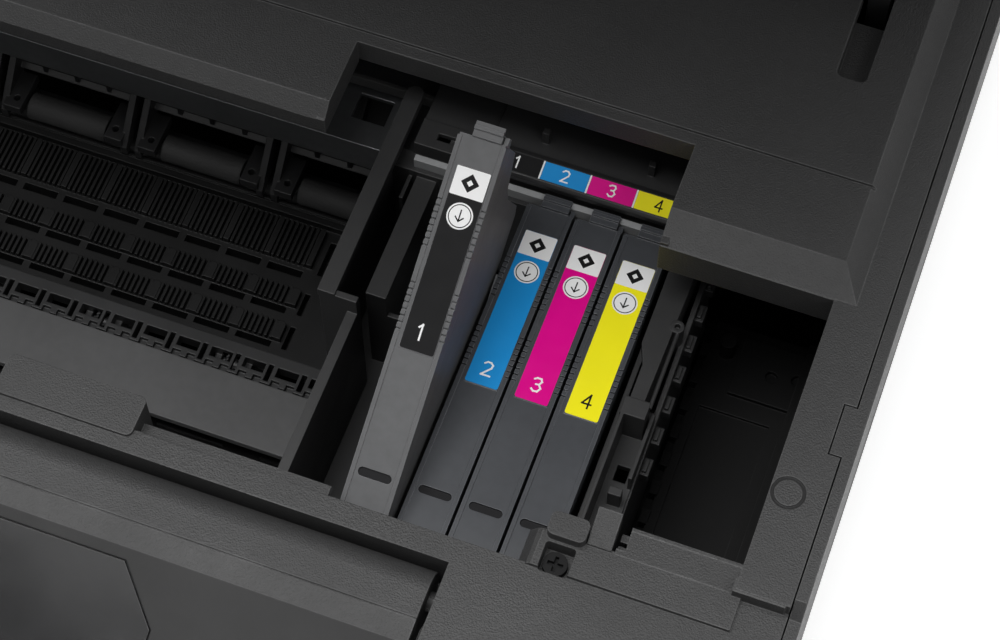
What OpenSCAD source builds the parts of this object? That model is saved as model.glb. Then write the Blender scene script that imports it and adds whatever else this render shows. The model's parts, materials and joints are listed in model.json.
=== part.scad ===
// Inkjet all-in-one printer, opened for a cartridge change.
// Frame: X to the printer's right, -Y is its front, Z = 0 is the table top.

/* [Body] */
// Overall width of the printer over its side covers
body_w = 375; // [373:1:379]
// How far the front face stands before the frame's origin
front_depth = 152; // [150:1:154]
// How far the rear wall stands behind the frame's origin
back_depth = 172; // [171:1:176]
// Height of the margin round the top opening
deck_z = 134; // [133.5:0.5:135]
// Rise of the platform above that margin
platform_rise = 4; // [3.5:0.5:4.5]
// Wall thickness of the moulded casings
wall = 2.4; // [2:0.2:2.6]

/* [Ink cartridges] */
// Distance from one cartridge to the next
pitch = 11.9; // [11.8:0.05:11.9]
// Thickness of one cartridge
cart_w = 11.15; // [10.8:0.05:11.2]
// Height of one cartridge
cart_h = 39; // [36:1:39]
// Angle that a released cartridge is raised to
cart_lift = 26.2; // [20:0.1:26.4]

/* [Scanner unit and lid] */
// Angle at which the scanner unit stands open
scan_open = 50; // [40:1:55]
// Height of the scanner unit's casing
scanner_h = 27; // [26:1:30]
// Height of the document lid
lid_h = 20; // [16:1:24]

/* [Control panel] */
// Slope of the raised control panel's face
panel_slope = 20; // [15:1:22]
// Length of the control panel's face
panel_len = 55; // [52:1:55]

/* [Paper path] */
// Radius of the coated feed roller
feed_r = 6.5; // [6:0.1:6.5]
// Teeth on the feed roller's gear
feed_teeth = 60; // [60]
// Distance from one wide rib of the platen to the next
rib_module = 11.4; // [11.2:0.1:11.8]

/* [Hidden] */
$fn = 48;

charcoal = "#3c3d3f";
black = "#1c1d1f";
steel = "#8d9196";

// ---- Casing positions ----
cover_t = 2.7;                     // side cover thickness
gap = 0.3;                         // clearance between loose pieces
half_w = body_w / 2;
half_in = half_w - cover_t - gap;  // half width of the casings under the covers
y_front = -front_depth;
y_back = back_depth;
platform_z = deck_z + platform_rise;
ledge_z = deck_z - 4;              // front ledge over the paper exit
floor_z = 3;                       // underside of the bottom case
foot_x = 135.5;                    // feet of the steel frame
posts = [[-160, -135], [160, -135], [-176, 163.5], [176, 163.5]];
split_z = 58;                      // bottom case meets top housing

// ---- Top opening ----
open_x = 172.5;                    // half width of the opening
crest_y = -22.7;                   // front crest of the platform
block_y = -30.3;                   // foot of the right block's sloped front
left_y = -26.4;                    // foot of the left ledge's chamfer
step_y = -102.3;                   // where the margins step down to the ledge
ledge_y = -109.9;                  // rear edge of the front ledge
hump_z = 119.4;                    // underside of the deep boss on that ledge, at its rear
recess_x0 = 51.1;                  // cartridge recess, left side
recess_x1 = 132.3;                 // cartridge recess, right side
recess_y = -5.6;                   // cartridge recess, rear side
slot_x0 = 156.5;                   // slot for the scanner stay
slot_x1 = 163.6;
slot_y0 = 23;
slot_y1 = 74;
pocket_x = 114.4;                  // half width of the control panel's pocket
pocket_y = -115.4;                 // rear edge of that pocket
notch_y0 = -66.2;                  // tab of the right side cover
notch_y1 = -54.2;
notch_x = 182;
screw_x = 135.2;                   // screw in the boss beside the panel
screw_y = -107.7;

// ---- Control panel ----
pan_y = -122.5;                    // tilt axis
pan_z = 123.2;
pan_r = 6.3;                       // rounded back round the axis
pan_x = 112.4;
pan_t = 9;
bend_y = -135;                     // where the face starts
bend_z = pan_z + pan_r - 1;
pan_pin_r = 2.2;
panel_tip_y = bend_y - panel_len * cos(panel_slope);
rear_reach = -panel_tip_y - back_depth;  // the rear cover stands out as far as the panel's tip

// ---- Cartridges and carriage ----
cart_x0 = 85.1;                    // left side of the black cartridge
cart_top = 110;
cart_y0 = -17;                     // rear end of a seated cartridge
cart_len = 103;
label_x0 = 1.9;                    // sides of the label, from the cartridge's left side
label_x1 = 9.95;
cart_axis_y = -118.3;
cart_axis_z = 105;
car_x0 = 60.5;                     // carriage, left side
car_x1 = 142;                      // carriage, right side
car_floor = 68.5;
cover_x0 = 66.3;                   // cover over the carriage's sliders
cover_y = -11.3;
flange_z = 104;                    // top of the steel guide flange
flange_y = -12.2;                  // its front edge
frame_y = 22;                      // the frame's upright plate
belt_z = 105;
belt_h = 4;
pulley_x = 160;
pulley_y = 9;
pulley_r = 5;

// ---- Paper path ----
feed_y = -2.6;
feed_z = 50;
eject_y = -58;
eject_z = 50;
eject_r = 5.6;
gear_m = 0.8;                      // gear module
eject_teeth = 52;
idler_teeth = 30;
pinion_teeth = 14;
feed_pr = gear_m * feed_teeth / 2;
eject_pr = gear_m * eject_teeth / 2;
idler_pr = gear_m * idler_teeth / 2;
pinion_pr = gear_m * pinion_teeth / 2;
fe = feed_y - eject_y;
fi = feed_pr + idler_pr;
ie = idler_pr + eject_pr;
idler_dy = (fi * fi - ie * ie + fe * fe) / (2 * fe);
idler_y = feed_y - idler_dy;
idler_z = feed_z - sqrt(fi * fi - idler_dy * idler_dy);
motor_dir = -60;                   // direction from the feed roller to its motor
motor_y = feed_y + (feed_pr + pinion_pr) * cos(motor_dir);
motor_z = feed_z + (feed_pr + pinion_pr) * sin(motor_dir);
gear_x0 = -179;
gear_w = 5;
side_l = -170;                     // left and right roller plates of the frame
side_r = 111;
pinch_y = feed_y - 3;
pinch_z = 59.7;
pinch_r = 3.5;
star_z = 60;
star_r = 4;
star_x = [for (x = [-140 : 35 : 100]) x];  // places of the star wheels
rib_top = 57;
platen_x0 = -167;
platen_x1 = 109.5;

// ---- Cassette ----
bay_x = 127;
bay_top = 41;
tray_x = 125.6;
rack_pr = 6;                       // pitch radius of the guide pinion
rack_teeth = 12;
rack_y = -20;                      // centre of the guide pinion

// ---- Scanner ----
hinge_y = 160;
hinge_z = 146;
scan_z0 = platform_z + 0.6;        // underside of the closed scanner unit
scan_z1 = scan_z0 + scanner_h;
scan_y0 = -149;
scan_y1 = 166;
scan_x = 186.5;
glass_x = 152;
glass_y0 = -108;
glass_y1 = 116;
lid_axis_y = 150;
lid_axis_z = scan_z1 + 7;
stay_r0 = 103;
stay_r1 = 114;

// ---- General shapes ----
module bx(x0, x1, y0, y1, z0, z1)
  translate([x0, y0, z0]) cube([x1 - x0, y1 - y0, z1 - z0]);

module cyl_x(x0, x1, y, z, r)
  translate([x0, y, z]) rotate([0, 90, 0]) cylinder(h = x1 - x0, r = r);

module cyl_y(y0, y1, x, z, r)
  translate([x, y1, z]) rotate([90, 0, 0]) cylinder(h = y1 - y0, r = r);

module cyl_z(z0, z1, x, y, r)
  translate([x, y, z0]) cylinder(h = z1 - z0, r = r);

// Outline drawn in Y and Z, drawn out along X
module along_x(x0, x1)
  translate([x0, 0, 0]) rotate([90, 0, 90]) linear_extrude(x1 - x0) children();

// Outline drawn in X and Z, drawn out along Y
module along_y(y0, y1)
  translate([0, y1, 0]) rotate([90, 0, 0]) linear_extrude(y1 - y0) children();

// Rectangle with round corners
module round_rect(x0, x1, y0, y1, r) {
  translate([x0 + r, y0]) square([x1 - x0 - 2 * r, y1 - y0]);
  translate([x0, y0 + r]) square([x1 - x0, y1 - y0 - 2 * r]);
  for (x = [x0 + r, x1 - r], y = [y0 + r, y1 - r]) translate([x, y]) circle(r);
}

module round_box(x0, x1, y0, y1, z0, z1, r)
  translate([0, 0, z0]) linear_extrude(z1 - z0) round_rect(x0, x1, y0, y1, r);

// Spur gear outline with straight-flanked teeth and running backlash
module gear_outline(teeth, m) {
  p = 360 / teeth;
  root = m * teeth / 2 - 1.25 * m;
  tip = m * teeth / 2 + 0.8 * m;
  polygon([for (i = [0 : teeth - 1], c = [[-0.27, root], [-0.1, tip], [0.1, tip], [0.27, root]])
    c[1] * [cos((i + c[0]) * p), sin((i + c[0]) * p)]]);
}

// Turn of a gear that puts it in mesh with one of known turn, lying in direction dir from it
function mesh_turn(turn, teeth, dir, mate_teeth) =
  dir + 180 - (0.5 - (dir - turn) * teeth / 360) * 360 / mate_teeth;

// A toothed wheel on an axis along X
module gear_x(x0, x1, y, z, teeth, turn, bore)
  along_x(x0, x1) translate([y, z]) difference() {
    rotate(turn) gear_outline(teeth, gear_m);
    circle(bore);
  }

// ---- Casings ----
module bottom_case() color(charcoal) {
  difference() {
    round_box(-half_in, half_in, y_front, y_back, floor_z, split_z, 6);
    difference() {
      round_box(-half_in + wall, half_in - wall, y_front + wall, y_back - wall,
        floor_z + wall, split_z + 1, 4);
      // ribs beside the cassette bay, and the shelf over it
      for (s = [-1, 1]) {
        bx(min(s * bay_x, s * (bay_x + 2.5)), max(s * bay_x, s * (bay_x + 2.5)),
          y_front, 100, floor_z, bay_top);
        bx(min(s * bay_x, s * (bay_x + 2.5)), max(s * bay_x, s * (bay_x + 2.5)),
          y_front, -66, bay_top - 1, split_z);
      }
      bx(-bay_x - 1, bay_x + 1, y_front, -64, bay_top, bay_top + 2.4);
    }
    // mouth for the cassette and the output tray
    bx(-bay_x + 0.6, bay_x - 0.6, y_front - 1, y_front + 6, floor_z + wall, bay_top);
    bx(-bay_x + 0.6, bay_x - 0.6, y_front - 1, y_front + 6, bay_top + 2.4, split_z + 1);
    // openings in the rear wall
    bx(-117, 117, y_back - 6, y_back + 1, 15.5, split_z + 1);
    bx(139.5, 160.5, y_back - 6, y_back + 1, 19.5, 36.5);
    bx(-150.5, -137.5, y_back - 6, y_back + 1, 29.5, 41.5);
    for (x = [-foot_x, foot_x]) cyl_z(floor_z - 1, floor_z + 4, x, frame_y + 9, 1.4);
    // vents low on the left
    for (i = [0 : 7]) bx(-half_in - 1, -half_in + 4, 60 + 8 * i, 64 + 8 * i, 16, 44);
  }
  // screw posts that the top housing sits on
  for (p = posts) difference() {
    cyl_z(floor_z + 1, split_z, p[0], p[1], 5);
    cyl_z(split_z - 12, split_z + 1, p[0], p[1], 1.4);
  }
}

// Plate of the platform: its right and left sides slope down to the margins
module platform_slab(x0, x1, foot_y, foot_z)
  intersection() {
    along_y(-60, y_back) polygon([
      [-open_x - 5, deck_z - 2.6], [-open_x - 5, deck_z], [-open_x, platform_z],
      [open_x, platform_z], [open_x + 5, deck_z], [open_x + 5, deck_z - 2.6]]);
    along_x(x0, x1) polygon([
      [foot_y, deck_z - 2.6], [foot_y, foot_z], [crest_y, platform_z],
      [y_back - 12, platform_z], [y_back - 6, deck_z], [y_back - 6, deck_z - 2.6]]);
  }

module top_housing() color(charcoal) {
  difference() {
    union() {
      // side, rear and front walls
      difference() {
        round_box(-half_in, half_in, y_front, y_back, split_z, deck_z, 6);
        round_box(-half_in + wall, half_in - wall, y_front + wall, y_back - wall,
          split_z - 1, deck_z - 2.6, 4);
        // the front is lower than the margins
        bx(-half_w, half_w, y_front - 1, step_y, ledge_z, deck_z + 1);
        // opening over the paper path and the carriage
        bx(-open_x, open_x, ledge_y, 40, deck_z - 4, deck_z + 1);
        // front opening for the control panel
        bx(-pocket_x, pocket_x, y_front - 1, pocket_y, 61, deck_z);
      }
      // front plate
      difference() {
        round_box(-half_in, half_in, y_front, step_y + 0.01, ledge_z - 2.5, ledge_z, 2);
        bx(-open_x, open_x, ledge_y, step_y + 1, ledge_z - 4, ledge_z + 1);
        bx(-pocket_x, pocket_x, y_front - 1, pocket_y, 61, deck_z);
      }
      // platform behind, left and right of the cartridge recess
      platform_slab(-half_in, recess_x0, left_y, deck_z + 0.6);
      platform_slab(recess_x1, half_in, block_y, deck_z);
      intersection() {
        platform_slab(-half_in, half_in, block_y, deck_z);
        bx(recess_x0 - 1, recess_x1 + 1, recess_y, y_back, deck_z - 3, platform_z + 1);
      }
      // skirts round the opening and the recess
      bx(-open_x, recess_x0, left_y, left_y + 2, deck_z - 4, deck_z + 0.4);
      bx(recess_x1, open_x, block_y - 0.3, block_y + 1.7, deck_z - 10, deck_z - 0.1);
      bx(recess_x1, recess_x1 + 2, block_y, recess_y, deck_z - 10, deck_z + 1);
      bx(recess_x0 - 2, recess_x0, left_y, recess_y, deck_z - 4, deck_z + 1);
      bx(recess_x0 - 2, recess_x1 + 2, recess_y, recess_y + 2, deck_z - 3, deck_z + 1);
      // round left corner of the block
      cyl_z(deck_z - 10, deck_z - 0.1, recess_x1 + 2, block_y + 1.7, 2);
      // step and ridge at the front of the right cavity
      front_ridge();
      hump();
      panel_pocket();
      // hinge posts for the scanner unit
      for (x = [-118, 118]) hinge_post(x);
      // floor under the front end of the stay's slot
      bx(slot_x0 - 1.5, slot_x1 + 1.5, slot_y0 - 1.5, slot_y0 + 20, deck_z - 4.2, deck_z - 2.5);
      // inner flange under the ledge
      bx(-open_x, 84, ledge_y - 1, ledge_y + 4, ledge_z - 6, ledge_z - 4.5);
      bx(-open_x, 84, ledge_y - 1, ledge_y + 0.5, ledge_z - 6, ledge_z - 1);
    }
    // rounded rear corners of the recess
    recess_cut();
    // slot for the scanner stay
    round_box(slot_x0, slot_x1, slot_y0, slot_y1, deck_z - 2.6, platform_z + 1, 1.6);
    bx(slot_x0, slot_x1, slot_y0 + 20, slot_y1 - 2, deck_z - 6, deck_z);
    // groove across the platform
    bx(-open_x - 3, open_x + 1, -3.05, -2.15, platform_z - 0.8, platform_z + 1);
    // ring mark on the right margin
    translate([176.5, -77.9, deck_z - 0.3]) difference() {
      cylinder(h = 1, r = 3.8);
      translate([0, 0, -1]) cylinder(h = 3, r = 3.0);
    }
    // notch for the side cover's tab
    bx(notch_x - gap, half_w, notch_y0 - gap, notch_y1 + gap, deck_z - 12, deck_z + 1);
    // mouth of the output slot, and the rear opening
    bx(-bay_x + 0.6, bay_x - 0.6, y_front - 1, y_front + 6, split_z - 1, split_z + 1.4);
    bx(-117, 117, y_back - 6, y_back + 1, split_z - 1, 120.5);
    // dark slot and screw recess in the front plate
    bx(145.8, 148.4, -101.2, -96, ledge_z - 1, deck_z + 2);
    round_box(132.1, 138.8, -110.6, -104.2, ledge_z - 3.2, deck_z, 0.8);
  }
  // floor of the screw recess
  difference() {
    bx(130.6, 140.3, -112, -103.5, ledge_z - 5, ledge_z - 2.4);
    bx(132.1, 138.8, -110.6, -104.2, ledge_z - 3.2, ledge_z);
    cyl_z(ledge_z - 6, ledge_z, screw_x, screw_y, 1.5);
  }
  // screw posts that stand on the bottom case
  for (p = posts) difference() {
    cyl_z(split_z, p[1] < 0 ? ledge_z - 1 : deck_z - 1, p[0], p[1], 5);
    cyl_z(split_z - 1, split_z + 10, p[0], p[1], 1.8);
  }
}

// Cut for the rounded recess that the cartridges lift through
module recess_cut()
  translate([0, 0, deck_z - 12]) linear_extrude(30) difference() {
    translate([recess_x0, recess_y - 40]) square([recess_x1 - recess_x0, 40]);
    for (c = [[recess_x0, 1], [recess_x1, -1]]) difference() {
      translate([c[0] - 5, recess_y - 5]) square([10, 6]);
      translate([c[0] + 5 * c[1], recess_y - 5]) circle(5);
      translate([c[1] > 0 ? c[0] + 5 : c[0] - 15, recess_y - 6]) square([10, 8]);
    }
  }

// Boss, ridge and tongue beside the control panel
module front_ridge() {
  round_box(131.5, 140, -103.6, -98.2, ledge_z - 2.4, deck_z, 1.5);
  along_x(146.4, open_x + 2.4) polygon([
    [step_y, ledge_z - 2.5], [step_y, ledge_z + 1.2], [-97.4, deck_z], [-96.6, deck_z],
    [-96.6, deck_z - 6], [-98.4, deck_z - 6], [-98.4, ledge_z - 0.5]]);
  along_y(-110.3, step_y + 0.5) polygon([
    [127.6, ledge_z - 2.4], [129.6, ledge_z + 0.6], [130.6, ledge_z + 1.2],
    [open_x + 1.6, ledge_z + 1.2], [open_x + 1.6, ledge_z - 2.4]]);
  // tongue
  along_x(140.3, 145.6) polygon([
    [step_y, ledge_z], [step_y, ledge_z + 1.8], [-94.6, deck_z + 0.7],
    [-94.6, deck_z - 3], [-97, deck_z - 5]]);
  bx(open_x - 0.5, half_in - 1, step_y - 0.5, step_y + 3, ledge_z - 2.5, deck_z - 0.2);
}

// Deep boss on the ledge's rear edge; its underside clears a raised cartridge
module hump() difference() {
  intersection() {
    round_box(8, 40.4, -112, -102.3, hump_z - 5, ledge_z + 1, 1.5);
    along_x(7, 41) polygon([[-112.1, hump_z - 4.7], [-112.1, ledge_z + 2], [-102.2, ledge_z + 2],
      [-102.2, hump_z]]);
  }
  bx(9.6, 38.8, -110.4, -103.9, hump_z - 6, ledge_z - 1.2);
}

// Walls of the pocket that the control panel folds into
module panel_pocket() {
  foot = [bend_y - 10.4, 59.4];
  along_x(-pocket_x - 2, pocket_x + 2) polygon([
    [pocket_y, ledge_z], [pocket_y, 116], [-123.2, 116], foot,
    [foot[0] + 2.2, foot[1]], [-121.6, 114.2], [pocket_y + 1.8, 114.2],
    [pocket_y + 1.8, ledge_z]]);
  for (s = [-1, 1]) difference() {
    along_x(min(s * pocket_x, s * (pocket_x + 2.2)), max(s * pocket_x, s * (pocket_x + 2.2)))
      polygon([[y_front + 0.5, foot[1]], [y_front + 0.5, ledge_z - 0.1],
        [pocket_y + 1, ledge_z - 0.1], [pocket_y + 1, 115], [-122.6, 115], [-144.4, foot[1]]]);
    cyl_x(min(s * pocket_x, s * (pocket_x + 3)) - 1, max(s * pocket_x, s * (pocket_x + 3)) + 1,
      pan_y, pan_z, pan_pin_r + 0.08);
  }
  bx(-pocket_x - 1, pocket_x + 1, y_front + 1, foot[0] + 2.2, 59.4, 61);
}

// Forked post that carries one trunnion of the scanner unit
module hinge_post(x)
  for (s = [-1, 1]) difference() {
    along_x(x + s * 9 - 2, x + s * 9 + 2) union() {
      translate([hinge_y - 6, platform_z - 2]) square([12, hinge_z - platform_z + 2]);
      translate([hinge_y, hinge_z]) circle(6);
    }
    cyl_x(x + s * 9 - 3, x + s * 9 + 3, hinge_y, hinge_z, 3.08);
  }

// Outline of a side cover, seen from the side
module side_outline()
  polygon([[y_front + 4, 14], [y_back - 2, 14], [y_back - 0.5, 16], [y_back - 0.5, deck_z - 2],
    [y_back - 3, deck_z], [step_y + 2, deck_z], [step_y - 1, ledge_z], [y_front + 2, ledge_z],
    [y_front + 0.5, ledge_z - 3], [y_front + 0.5, 18]]);

module right_side_cover() color(charcoal) {
  difference() {
    along_x(half_in + gap, half_w) side_outline();
    // finger grip for lifting
    along_x(half_w - 1.2, half_w + 1) round_rect(-40, 60, 16, 30, 4);
  }
  bx(notch_x, half_w - 1, notch_y0, notch_y1, deck_z - 10, deck_z);
}

module left_side_cover() color(charcoal)
  difference() {
    along_x(-half_w, -half_in - gap) side_outline();
    along_x(-half_w - 1, -half_w + 1.2) round_rect(-40, 60, 16, 30, 4);
    for (i = [0 : 7]) bx(-half_w - 1, -half_in, 60 + 8 * i, 64 + 8 * i, 36, 44);
  }

module rear_cover() color(charcoal)
  difference() {
    union() {
      along_x(-121, 121) polygon([
        [y_back + gap, 12], [y_back + rear_reach - 6, 12], [y_back + rear_reach - 1.5, 17],
        [y_back + rear_reach, 24], [y_back + rear_reach, 94], [y_back + rear_reach - 3, 108],
        [y_back + rear_reach - 8, 119.5], [y_back + gap, 124]]);
      // frame that plugs into the rear opening
      bx(-116.5, 116.5, y_back - 14, y_back + 1, 16, 120);
    }
    bx(-113.5, 113.5, y_back - 15, y_back + rear_reach - 9, 19, 117);
    // finger grips at both ends
    for (s = [-1, 1]) bx(min(s * 109, s * 122), max(s * 109, s * 122),
      y_back + 3, y_back + rear_reach - 3, 60, 84);
  }

module rubber_feet() color("#151515")
  for (x = [-165, 165], y = [-130, 145]) {
    cyl_z(0, floor_z, x, y, 8);
    cyl_z(0.8, floor_z, x, y, 9.5);
  }

// ---- Mechanism ----
module main_frame() color("#4a4d50") difference() {
  union() {
    // upright plate and guide flange with its lip
    bx(-168, 168, frame_y, frame_y + 1.2, 41.2, 118);
    bx(side_l, -167, frame_y, frame_y + 1.2, 41.2, 100);
    bx(-172, 172, flange_y, frame_y + 1.2, flange_z - 1.2, flange_z);
    bx(-172, 172, flange_y, flange_y + 1.2, flange_z - 10, flange_z);
    // side plates that carry the rollers
    for (x = [side_l, side_r]) {
      bx(x, x + 1.2, -63.9, frame_y + 1, 39, 57.2);
      bx(x - 3, x + 5, 12, frame_y + 1, 41.2, 42.4);
    }
    bx(side_l, side_l + 1.2, -2, frame_y + 1, 57, flange_z - 1);
    // plate that carries the feed motor and the idler gear
    bx(side_l, side_l + 1.2, -2, 40, 8, 42);
    bx(side_l, side_l + 1.2, idler_y - 5, -1, idler_z - 5, 40);
    // feet screwed to the bottom case
    for (x = [-foot_x, foot_x]) {
      bx(x - 4.5, x + 4.5, frame_y, frame_y + 1.2, floor_z + wall, 42);
      bx(x - 4.5, x + 4.5, frame_y, frame_y + 14, floor_z + wall, floor_z + wall + 1.2);
    }
  }
  // rectangular windows in the flange
  bx(47.6, 56.2, -5.6, 1.6, flange_z - 3, flange_z + 1);
  bx(-56, -47, -5.6, 1.6, flange_z - 3, flange_z + 1);
  for (x = [-120 : 40 : 120]) bx(x - 9, x + 9, frame_y - 1, frame_y + 2, 84, 98);
  // seats of the bushings
  for (x = [side_l, side_r]) {
    cyl_x(x - 1, x + 2.5, feed_y, feed_z, 6.3);
    cyl_x(x - 1, x + 2.5, eject_y, eject_z, 5.3);
  }
  // holes for the motor shafts
  cyl_z(flange_z - 3, flange_z + 1, pulley_x, pulley_y, 3);
  cyl_z(flange_z - 3, flange_z + 1, -pulley_x, pulley_y, 2);
  cyl_x(side_l - 1, side_l + 2.5, motor_y, motor_z, 4.1);
  for (x = [-foot_x, foot_x]) cyl_z(floor_z, 8, x, frame_y + 9, 1.4);
}

module roller_bushings() color("#e3e0d6")
  for (x = [side_l, side_r]) {
    difference() {
      union() {
        cyl_x(x, x + 1.2, feed_y, feed_z, 6.3);
        cyl_x(x + 1.2, x + 3.2, feed_y, feed_z, 7.4);
      }
      cyl_x(x - 1, x + 4, feed_y, feed_z, 4.05);
    }
    difference() {
      union() {
        cyl_x(x, x + 1.2, eject_y, eject_z, 5.3);
        cyl_x(x + 1.2, x + 3.2, eject_y, eject_z, 6.4);
      }
      cyl_x(x - 1, x + 4, eject_y, eject_z, 3.05);
    }
  }

module feed_roller() color(steel) {
  cyl_x(gear_x0 - 1, side_r + 3.8, feed_y, feed_z, 4);
  cyl_x(side_l + 3.6, side_r - 0.5, feed_y, feed_z, feed_r);
}

module feed_gear() color("#e8e4da") {
  gear_x(gear_x0, gear_x0 + gear_w, feed_y, feed_z, feed_teeth, 0, 4);
  difference() {
    cyl_x(gear_x0 + gear_w, gear_x0 + gear_w + 2, feed_y, feed_z, 7);
    cyl_x(gear_x0, gear_x0 + 9, feed_y, feed_z, 4);
  }
}

idler_dir = atan2(idler_z - feed_z, idler_y - feed_y);
eject_dir = atan2(eject_z - idler_z, eject_y - idler_y);
idler_turn = mesh_turn(0, feed_teeth, idler_dir, idler_teeth);
eject_turn = mesh_turn(idler_turn, idler_teeth, eject_dir, eject_teeth);
pinion_turn = mesh_turn(0, feed_teeth, motor_dir, pinion_teeth);

module idler_gear() color("#e8e4da") {
  gear_x(gear_x0, gear_x0 + gear_w, idler_y, idler_z, idler_teeth, idler_turn, 0.5);
  cyl_x(gear_x0 - 1, side_l - 0.6, idler_y, idler_z, 2.5);
}

module eject_roller() color("#2a2b2d") {
  gear_x(gear_x0, gear_x0 + gear_w, eject_y, eject_z, eject_teeth, eject_turn, 1);
  cyl_x(gear_x0 - 1, side_r + 3.8, eject_y, eject_z, 3);
  for (x = star_x) cyl_x(x - 6, x + 6, eject_y, eject_z, eject_r);
}

module motor_pinion() color("#c9a45a") {
  gear_x(gear_x0, gear_x0 + gear_w, motor_y, motor_z, pinion_teeth, pinion_turn, 0.5);
  cyl_x(gear_x0 + 1, side_l - 0.6, motor_y, motor_z, 1.5);
}

module feed_motor() color(steel) {
  cyl_x(side_l + 1.2, side_l + 26, motor_y, motor_z, 14);
  cyl_x(side_l + 0.3, side_l + 2, motor_y, motor_z, 4);
  bx(side_l + 1.2, side_l + 3, motor_y - 18, motor_y + 18, motor_z - 6, motor_z + 6);
  bx(side_l + 26, side_l + 29, motor_y - 5, motor_y + 5, motor_z - 4, motor_z + 4);
}

// Pinch rollers in sprung holders over the feed roller
pinch_x = [for (i = [-4 : 2]) i * 38 + 4.6];
cheek_x = 17;                      // half distance between the cheeks of a holder

module pinch_rollers() color("#55585b")
  for (x = pinch_x) {
    cyl_x(x - 11, x + 11, pinch_y, pinch_z, pinch_r);
    cyl_x(x - cheek_x - 0.3, x + cheek_x + 0.3, pinch_y, pinch_z, 1.2);
  }

module pinch_roller_holders() color(black) {
  for (x = pinch_x) {
    // arm with two side cheeks, end blocks and cross ribs
    for (s = [-1, 1]) difference() {
      union() {
        along_x(x + s * cheek_x - 0.9, x + s * cheek_x + 0.9) polygon([
          [pinch_y - 4.5, 58], [pinch_y - 4.5, 61], [pinch_y, 66], [8, 80], [21.4, 84],
          [21.4, 78], [6, 66]]);
        bx(x + s * 14.3 - 2.4, x + s * 14.3 + 2.4, pinch_y - 4.5, 1, 61.3, 64);
      }
      cyl_x(x + s * cheek_x - 1.5, x + s * cheek_x + 1.5, pinch_y, pinch_z, 1.3);
      cyl_z(61, 66, x + s * 14, pinch_y - 1.5, 0.9);
    }
    along_x(x - cheek_x, x + cheek_x)
      polygon([[0.5, 66.6], [20, 79], [21.4, 79], [21.4, 77], [1.5, 64.6]]);
    for (dx = [-9, 0, 9]) along_x(x + dx - 0.6, x + dx + 0.6)
      polygon([[1, 66], [20, 78], [17, 82], [1, 71]]);
    bx(x - cheek_x, x + cheek_x, 2, 3.5, 66.5, 72);
  }
  // rail behind the rollers, against the upright plate
  bx(-166, 99, 20.4, frame_y, 76, 84);
}

// Platen: three rows of ribs with absorber windows between them
rib_rows = [[-24, -12.8], [-35.9, -31], [-46.1, -41]];
rib_wide = [1.5, 2.3, 2.3];        // width of the wide ribs in each row
window_rows = [[-27.3, -25.3], [-38.1, -36.2], [-48.1, -46.4]];
rib_last = 40.6;                   // wide rib nearest to the right end
rib_fine = 7;                      // fine ribs between two wide ones
wide_x = [for (x = [rib_last : -rib_module : platen_x0 + 1.8]) x];
module platen() color("#26272a") {
  difference() {
    bx(platen_x0, platen_x1, -50.4, -10.3, 49, 55);
    for (w = window_rows, x = [rib_last : -rib_module : platen_x0 + 14])
      bx(x - rib_module + 1, x - 1, w[0], w[1], 48, 56);
    bx(platen_x0 + 3, platen_x1 - 3, -48, -11.8, 48, 51);
    // openings at the right end of the rows
    bx(43.2, 45.8, -25, -15, 48, 56);
    for (r = [1, 2]) bx(42.6, 44, rib_rows[r][0] - 1.5, rib_rows[r][1], 48, 56);
  }
  for (k = [0 : 2], x = wide_x) {
    // wide rib with a round rear end
    bx(x - rib_wide[k] / 2, x + rib_wide[k] / 2, rib_rows[k][0], rib_rows[k][1] - rib_wide[k] / 2,
      54.5, rib_top);
    cyl_z(54.5, rib_top, x, rib_rows[k][1] - rib_wide[k] / 2, rib_wide[k] / 2);
    if (x > platen_x0 + 12) for (i = [1 : rib_fine])
      bx(x - i * rib_module / (rib_fine + 1) - 0.33, x - i * rib_module / (rib_fine + 1) + 0.33,
        rib_rows[k][0], rib_rows[k][1], 54.5, rib_top - 0.3);
  }
  // rear guide bar with its groove
  difference() {
    along_x(platen_x0, platen_x1)
      polygon([[-12, 54], [-12, 57.4], [-9, 57.4], [-8.2, 56.6], [-8.2, 55.6], [-9.9, 54]]);
    bx(platen_x0 + 4, platen_x1 - 4, -10.3, -9.7, 56.8, 58);
  }
  // small guide posts along the front edge
  for (x = wide_x) bx(x - 0.7, x + 0.7, -51.9, -50.3, 52, 55.6);
  // lugs fixed to the frame's side plates
  bx(side_l + 1.2, platen_x0 + 0.1, -46, -14, 49.5, 53);
  bx(platen_x1 - 0.1, side_r, -46, -14, 49.5, 53);
}

module ink_absorber() color("#0e0e10")
  bx(platen_x0 + 3.3, 47, -47.8, -12, 50.1, 51);

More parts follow.
